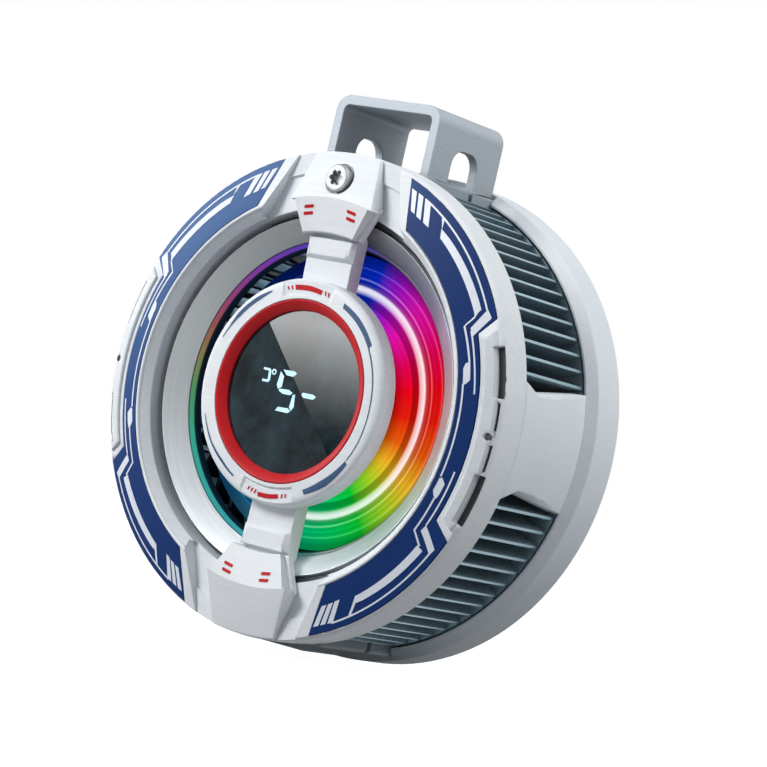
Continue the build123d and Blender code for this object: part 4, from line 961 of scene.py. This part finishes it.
# %% Finishes for the inner parts
inner = {
    "blade_plastic": ("impeller",),
    "motor_steel": ("rotor_cup", "shaft_clip", "shell_screws"),
    "magnet": ("rotor_magnet", "magnet_ring"),
    "polished_steel": ("shaft",),
    "black_plastic": ("motor_base", "digit_module", "hub_back", "deck_ring"),
    "bronze": ("front_bearing", "rear_bearing"),
    "lamination": ("stator_core",),
    "copper": ("stator_coils",),
    "board": ("led_board", "display_board", "control_board"),
    "lamp": ("leds",),
    "ceramic": ("thermoelectric_module",),
    "foam": ("insulation_ring",),
}
for slot, names in inner.items():
    for node in names:
        nodes[node].data.materials.clear()
        nodes[node].data.materials.append(finishes[slot])
print("inner nodes", sum(map(len, inner.values())))

# %% [markdown]
# ## Printed marks
#
# The stripes on the inlays, the dashes on the pods and the marks on the hub are ink. Each mark
# is a band between two edges, cut in fine steps. It is laid on the surface below it by casting
# rays from the front, and made a film of a few hundredths of a millimetre.

# %% Ink that follows a surface
def band(*rungs, step=0.45):
    """Fine quads between two edges; each rung is an outer and an inner point, in mm."""
    rows = []
    for (a, b), (c, d) in zip(rungs, rungs[1:]):
        length = max((Vector(c) - Vector(a)).length, (Vector(d) - Vector(b)).length)
        count = max(1, round(length / step))
        for index in range(count + (1 if (c, d) == rungs[-1] else 0)):
            share = index / count
            rows.append((Vector(a).lerp(Vector(c), share), Vector(b).lerp(Vector(d), share)))
    return rows


def ring_band(*stations):
    """A band given by (outer radius, angle, inner radius, angle) stations."""
    rungs = []
    for first, last in zip(stations, stations[1:]):
        steps = max(1, round(max(abs(last[1] - first[1]), abs(last[3] - first[3])) / 0.8))
        for index in range(steps + (1 if last == stations[-1] else 0)):
            ro, ao, ri, ai = [a + (b - a) * index / steps for a, b in zip(first, last)]
            rungs.append((polar(ro, ao), polar(ri, ai)))
    return band(*rungs, step=99.0)


def filmed(name, shape, thickness):
    """A film from flat faces, all turned to the front."""
    for face in shape.faces:
        face.normal_update()
        if face.normal.y > 0:
            face.normal_flip()
    piece = as_object(name, shape, outwards=False)
    modify(piece, "SOLIDIFY", thickness=thickness * mm, offset=-1.0)
    baked(piece)
    print(name, len(piece.data.polygons), "faces")
    return piece


ink_film = 0.03


def printed(name, onto, bands):
    """A film of ink just above a piece, from bands in the front view."""
    surface = bmesh.new()
    surface.from_mesh(onto.data)
    tree = BVHTree.FromBMesh(surface)
    shape = bmesh.new()
    for rows in bands:
        across = max(1, round(max((a - b).length for a, b in rows) / 0.5))
        grid = []
        for a, b in rows:
            line = []
            for index in range(across + 1):
                x, y = a.lerp(b, index / across)
                hit = tree.ray_cast(front(x, y, 60.0), Vector((0.0, 1.0, 0.0)))[0]
                spot = (hit or front(x, y, 31.0)) - Vector((0.0, 2 * ink_film * mm, 0.0))
                line.append(shape.verts.new(spot))
            grid.append(line)
        for here, there in zip(grid, grid[1:]):
            for index in range(across):
                shape.faces.new((here[index], there[index], there[index + 1], here[index + 1]))
    surface.free()
    return filmed(name, shape, ink_film)


print("a film of ink is", ink_film, "mm thick")

# %% [markdown]
# The stripes of the right inlay, as (outer radius, angle, inner radius, angle) stations. The
# left inlay carries their mirror image.

# %% Stripes of the inlays
thin = 0.26
stripes = [
    [(34.45, 68.6, 31.85, 64.6), (34.45, 66.9, 31.85, 63.1)],
    [(34.48, 66.2, 31.8, 62.2), (34.5, 64.5, 31.82, 60.4)],
    [(34.52, 63.8, 31.86, 59.3), (34.56, 61.7, 31.93, 57.1)],
    [(34.56, 61.7, 34.56 - thin, 61.4), (34.56, 29.2, 34.56 - thin, 29.2)],
    [(34.32, 56.6, 34.32, 55.5), (33.22, 54.0, 33.22, 54.0)],
    [(33.24, 54.2, 32.33, 52.4), (33.38, 50.0, 32.36, 48.0), (33.6, 34.0, 32.5, 34.0),
        (33.65, 29.8, 32.57, 29.5)],
    [(33.65, 29.8, 32.57, 29.5), (33.1, 29.3, 32.45, 28.2), (30.92, 27.3, 30.66, 26.7)],
    [(30.94, 27.3, 30.66, 26.9), (31.14, 17.3, 30.86, 17.3)],
    [(34.58, 29.3, 31.62, 26.0), (34.85, 27.0, 31.8, 23.8)],
    [(31.78, 25.6, 31.54, 25.2), (31.86, 16.0, 31.62, 16.0), (31.98, 8.9, 31.74, 8.9)],
    [(31.12, 17.4, 30.45, 17.0), (31.12, 15.5, 30.1, 15.7), (31.1, 12.5, 30.08, 12.0),
        (30.5, 11.5, 30.14, 11.3)],
    [(30.24, 11.6, 29.98, 11.6), (30.26, -13.8, 30.0, -13.8)],
    [(30.4, -13.9, 30.05, -14.4), (31.14, -15.2, 30.06, -15.2), (31.1, -18.2, 30.0, -18.0),
        (30.96, -19.6, 30.4, -19.2)],
    [(30.84, -19.4, 30.58, -19.4), (30.95, -29.6, 30.7, -29.9)],
    [(30.95, -29.6, 30.7, -29.9), (32.95, -31.7, 32.72, -32.1)],
    [(31.88, -11.2, 31.64, -11.2), (31.9, -26.9, 31.66, -26.7)],
    [(31.78, -26.7, 31.63, -28.7), (34.87, -29.9, 34.72, -31.7)],
    [(34.74, -31.2, 34.5, -31.2), (34.74, -63.3, 34.5, -63.0)],
    [(33.62, -32.2, 32.52, -32.1), (33.55, -44.0, 32.5, -44.0), (33.45, -53.0, 32.48, -52.5),
        (33.28, -55.8, 32.45, -54.2)],
    [(33.28, -55.8, 33.2, -54.6), (34.5, -58.1, 34.5, -57.3)],
    [(34.6, -62.8, 31.95, -58.8), (34.55, -64.4, 31.95, -60.4)],
    [(34.5, -65.0, 32.0, -61.0), (34.5, -66.5, 32.0, -62.5)],
    [(34.5, -67.1, 32.0, -63.1), (34.48, -68.6, 31.98, -64.6)],
]
right_bands = [ring_band(*stations) for stations in stripes]
left_bands = [[[Vector((-spot.x, spot.y)) for spot in row] for row in rows] for rows in right_bands]
for side, bands_here in (("right", right_bands), ("left", left_bands)):
    ink = printed(side + "_inlay_stripes", dressed[side + "_inlay"], bands_here)
    dress(ink, "white_ink")

# %% [markdown]
# On the hub, two red blocks with ticks sit above and below the display, and blue bars
# follow its edge. On each pod there are two pairs of red dashes, with pointed ends.

# %% Marks of the hub and the pods
red_marks = [
    ring_band((15.7, 102.1, 14.94, 101.5), (15.6, 92.0, 14.84, 92.0), (15.34, 82.7, 14.63, 83.1)),
    ring_band((15.9, -95.3, 15.25, -96.1), (15.84, -88.0, 15.16, -88.0), (15.64, -81.3, 15.03, -81.8)),
]
ticks = (
    (104.3, 15.66, 15.06), (106.9, 15.62, 15.1), (80.6, 15.42, 14.76), (78.2, 15.4, 14.76),
    (-98.0, 15.68, 15.02), (-100.6, 15.64, 15.04), (-103.0, 15.6, 15.06), (-79.3, 15.62, 15.02),
    (-76.8, 15.58, 15.02),
)
for angle, outer, inner in ticks:
    lean = 0.7 if angle > 0 else -0.4
    red_marks.append(ring_band(*[(outer, angle + half, inner, angle + half - lean) for half in (0.5, -0.5)]))
blue_marks = [
    ring_band((15.5, 158.0, 15.38, 158.0), (15.5, 150.0, 15.3, 150.0), (15.8, 142.0, 15.15, 142.0),
              (15.8, 127.0, 15.15, 126.0), (15.62, 117.0, 15.42, 117.0)),
    ring_band((15.42, 65.2, 14.72, 64.0), (15.66, 52.0, 14.86, 51.0), (15.68, 34.2, 14.96, 33.0)),
    ring_band((15.12, 33.0, 14.92, 33.0), (15.14, 0.0, 14.98, 0.0), (15.34, -20.0, 15.2, -20.0),
        (15.36, -31.4, 15.22, -31.4)),
    ring_band((15.76, -32.8, 15.22, -32.0), (16.02, -49.4, 14.92, -51.0), (15.7, -63.7, 14.96, -64.2)),
    ring_band((15.35, -115.6, 15.1, -115.2), (15.36, -128.0, 14.98, -128.0),
        (15.55, -141.0, 15.28, -141.0), (15.55, -158.0, 15.44, -158.0)),
]
for ink, bands_here in (("red", red_marks), ("blue", blue_marks)):
    dress(printed(f"hub_{ink}_marks", dressed["hub_head"], bands_here), ink + "_ink")

dash = [(-0.85, 0.12), (-0.72, 0.24), (0.72, 0.24), (0.85, 0.12)]
pod_dashes = (("top_pod", 26.5, 4.0, (-3.95, 3.95)), ("bottom_pod", -26.9, -4.0, (-3.9, 3.2)))
for pod, height, lean, sides in pod_dashes:
    dashes = []
    for x in sides:
        for y in (height - 0.5, height + 0.5):
            spots = [(x + at, y + at * (-x * lean * 0.012), half) for at, half in dash]
            dashes.append(band(*[((along, up + half), (along, up - half)) for along, up, half in spots]))
    dress(printed(pod + "_dashes", dressed[pod], dashes), "red_ink")

# %% [markdown]
# Hardly any light comes back out of the slots beside the side inserts, or out of the notch in
# each insert. A dark filler just below the surface stands in for that shadow, a painted shadow.

# %% Dark slots
for side, label in ((1, "right"), (-1, "left")):
    shade_fillers = {}
    for number, (start, end) in enumerate(deep_slots):
        corners = arc_corners(34.76, 35.88, start + 0.1, end - 0.1, side)
        shade_fillers[f"slot_filler_{number}"] = (corners, 29.9, 30.62)
    for number, (start, end) in enumerate(shallow_slots):
        corners = arc_corners(35.2, 35.53, start + 0.1, end - 0.1, side)
        shade_fillers[f"groove_filler_{number}"] = (corners, 30.6, 31.0)
    shade_fillers["notch_filler"] = (disc_corners(side * notch_x, notch_y, 0.53, 16), 31.36, 31.62)
    for name, (corners, low, high) in shade_fillers.items():
        dress(prism(f"{label}_{name}", corners, low, high), "black_plastic")
print("fillers on each side", len(shade_fillers))

# %% [markdown]
# The display shows its reading upside down in this view: minus five degrees, with the unit as
# a small C and ring. Segments are six-cornered, as on every such display, and lean a little.

# %% Digits behind the glass
digit_outlines = [
    [(1.65, 0.21), (3.61, 0.24), (4.25, -0.04), (3.73, -0.48), (1.94, -0.49), (1.55, -0.12)],
    [(-2.74, 2.93), (-0.7, 3.01), (-0.12, 2.74), (-0.7, 2.18), (-1.95, 2.22)],
    [(-3.13, 2.62), (-2.38, 2.0), (-2.38, 0.4), (-2.98, 0.02), (-3.36, 0.6)],
    [(-2.62, 0.12), (-0.89, 0.18), (-0.13, -0.16), (-0.5, -0.52), (-1.95, -0.54), (-2.82, -0.16)],
    [(-0.05, -0.42), (0.38, -0.28), (0.62, -2.12), (0.24, -2.78), (-0.19, -2.26)],
    [(-2.21, -2.52), (-0.33, -2.47), (0.12, -2.86), (-0.31, -3.17), (-2.66, -3.13)],
    [(-6.39, 2.72), (-5.2, 2.72), (-4.92, 2.46), (-4.8, 1.0), (-5.1, 0.68), (-6.26, 0.68), (-6.26, 1.02),
        (-5.24, 1.04), (-5.34, 2.36), (-6.39, 2.4)],
]
lens_depth = 32.1
digit_depth = lens_depth + 0.03
shape = bmesh.new()
for outline in digit_outlines:
    shape.faces.new([shape.verts.new(front(x, y, digit_depth)) for x, y in outline])
circles = [disc_corners(-4.36, 2.34, radius, 16) for radius in (0.44, 0.22)]
outer, hole = [[shape.verts.new(front(x, y, digit_depth)) for x, y in circle] for circle in circles]
for corners in zip(outer, outer[1:] + outer[:1], hole[1:] + hole[:1], hole):
    shape.faces.new(corners)
dress(filmed("display_digits", shape, 0.02), "lit_digits")

# %% [markdown]
# ## Floor, light and camera
#
# The cooler stands on its round shell on a pale floor. To the camera, floor and backdrop are
# white by themselves, so the lamps can stay at a level where a colour renders as it is
# written, and the floor still shows the shadow. Reflections and glass see the same white.

# %% Floor and backdrop
def white_to_eyes(sheet):
    """1 for rays of the camera, of reflections and of glass."""
    eyes = sheet.node("ShaderNodeLightPath", output="Is Camera Ray")
    outputs = eyes.socket.node.outputs
    for name in ("Is Glossy Ray", "Is Transmission Ray"):
        eyes = eyes.math("MAXIMUM", Value(sheet, outputs[name]))
    return eyes


def pale_floor(sheet):
    """A dull grey that glows white for the camera."""
    cloud = sheet.noise(sheet.position()[0], 3.0, 2.0)
    colour = sheet.ramp(cloud, [(0.3, (0.24, 0.25, 0.26)), (0.7, (0.27, 0.27, 0.28))])
    diffuse = sheet.node("ShaderNodeBsdfDiffuse", {"Color": colour})
    glow = sheet.node("ShaderNodeEmission", {"Color": grey(1.0), "Strength": white_to_eyes(sheet) * 0.97})
    return sheet.node("ShaderNodeAddShader", {0: diffuse, 1: glow})


floor_level, floor_radius = -37.6, 3.0
shape = bmesh.new()
floor_corners = disc_corners(0.0, 0.0, floor_radius, 64)
shape.faces.new([shape.verts.new((x, y, floor_level * mm)) for x, y in floor_corners])
floor = as_object("floor", shape)
floor.data.materials.append(material("pale_floor", pale_floor))

world = bpy.data.worlds.new("studio")
scene.world = world
sheet = blank_sheet(world)
eyes = white_to_eyes(sheet)
tint = sheet.mix(eyes, (0.80, 0.92, 1.0, 1.0), grey(1.0))
background = sheet.node("ShaderNodeBackground", {"Color": tint, "Strength": eyes * 0.80 + 0.20})
sheet.node("ShaderNodeOutputWorld", {"Surface": background})
scene.view_settings.view_transform = "Standard"
print("floor at", floor_level, "mm")

# %% [markdown]
# Four soft lamps: a small strong one high on the left as the main light, a wider one on the
# right that keeps the fins readable, one from above and behind for the rims, and one for the
# wall on the left. They are hidden from the camera, so that they don't show in other views.

# %% Lamps
aim = Vector((0.0, -0.016, 0.0))
lamps = {
    "main_light": ((-0.22, -0.38, 0.24), 0.18, 2.0),
    "side_light": ((0.55, -0.10, 0.40), 0.30, 0.85),
    "rim_light": ((0.28, 0.10, 0.42), 0.30, 1.45),
    "left_light": ((-0.5, -0.05, 0.12), 0.30, 1.05),
}
for name, (spot, side, power) in lamps.items():
    light = bpy.data.lights.new(name, "AREA")
    light.shape = "SQUARE"
    light.size = side
    light.energy = power
    made = linked(name, light)
    made.location = spot
    made.rotation_euler = (aim - Vector(spot)).to_track_quat("-Z", "Y").to_euler()
    made.visible_camera = False
print("lamps", len(lamps))

# %% [markdown]
# The glass of the display mirrors a bright panel with a slanted edge. A mirror shows what
# stands at the mirror image of the camera's rays, so the panel's corners are found by carrying
# points of the glass on along those rays.

# %% Camera and the panel that the glass mirrors
eye = Vector((0.2712, -0.3726, -0.0075))
ahead = Vector((-0.6002, 0.7994, 0.0267))
upward = Vector((-0.1609, -0.1533, 0.9750))
sideways = ahead.cross(upward).normalized()
upright = sideways.cross(ahead).normalized()
camera_data = bpy.data.cameras.new("camera")
camera_data.lens = 140.8
camera_data.sensor_width = 36.0
camera = linked("camera", camera_data)
turn = Matrix((sideways, upright, -ahead)).transposed().to_4x4()
camera.matrix_world = Matrix.Translation(eye) @ turn
scene.camera = camera

glass = -lens_depth * mm
image_eye = Vector((eye.x, 2 * glass - eye.y, eye.z))
panel_low, panel_high, panel_power = -0.0084, 0.024, 21.4


def window_glow(sheet):
    """Light that grows with the square of the height."""
    _, (_, _, z) = sheet.position()
    fade = sheet.node("ShaderNodeMapRange", {0: z, 1: panel_low, 2: panel_high, 3: 0.0, 4: 1.0})
    return sheet.node("ShaderNodeEmission", {"Color": grey(1.0), "Strength": fade * fade * panel_power})


shape = bmesh.new()
spots = [front(x, y, lens_depth) for x, y in ((-14.0, 16.5), (11.5, -11.0), (36.0, 10.5), (10.0, 38.0))]
shape.faces.new([shape.verts.new(spot + (spot - image_eye) * 0.8) for spot in spots])
panel = as_object("window_panel", shape)
panel.data.materials.append(material("window_glow", window_glow))
for kind in ("camera", "diffuse", "shadow", "transmission"):
    setattr(panel, "visible_" + kind, False)
print("camera at", tuple(round(v, 4) for v in eye))
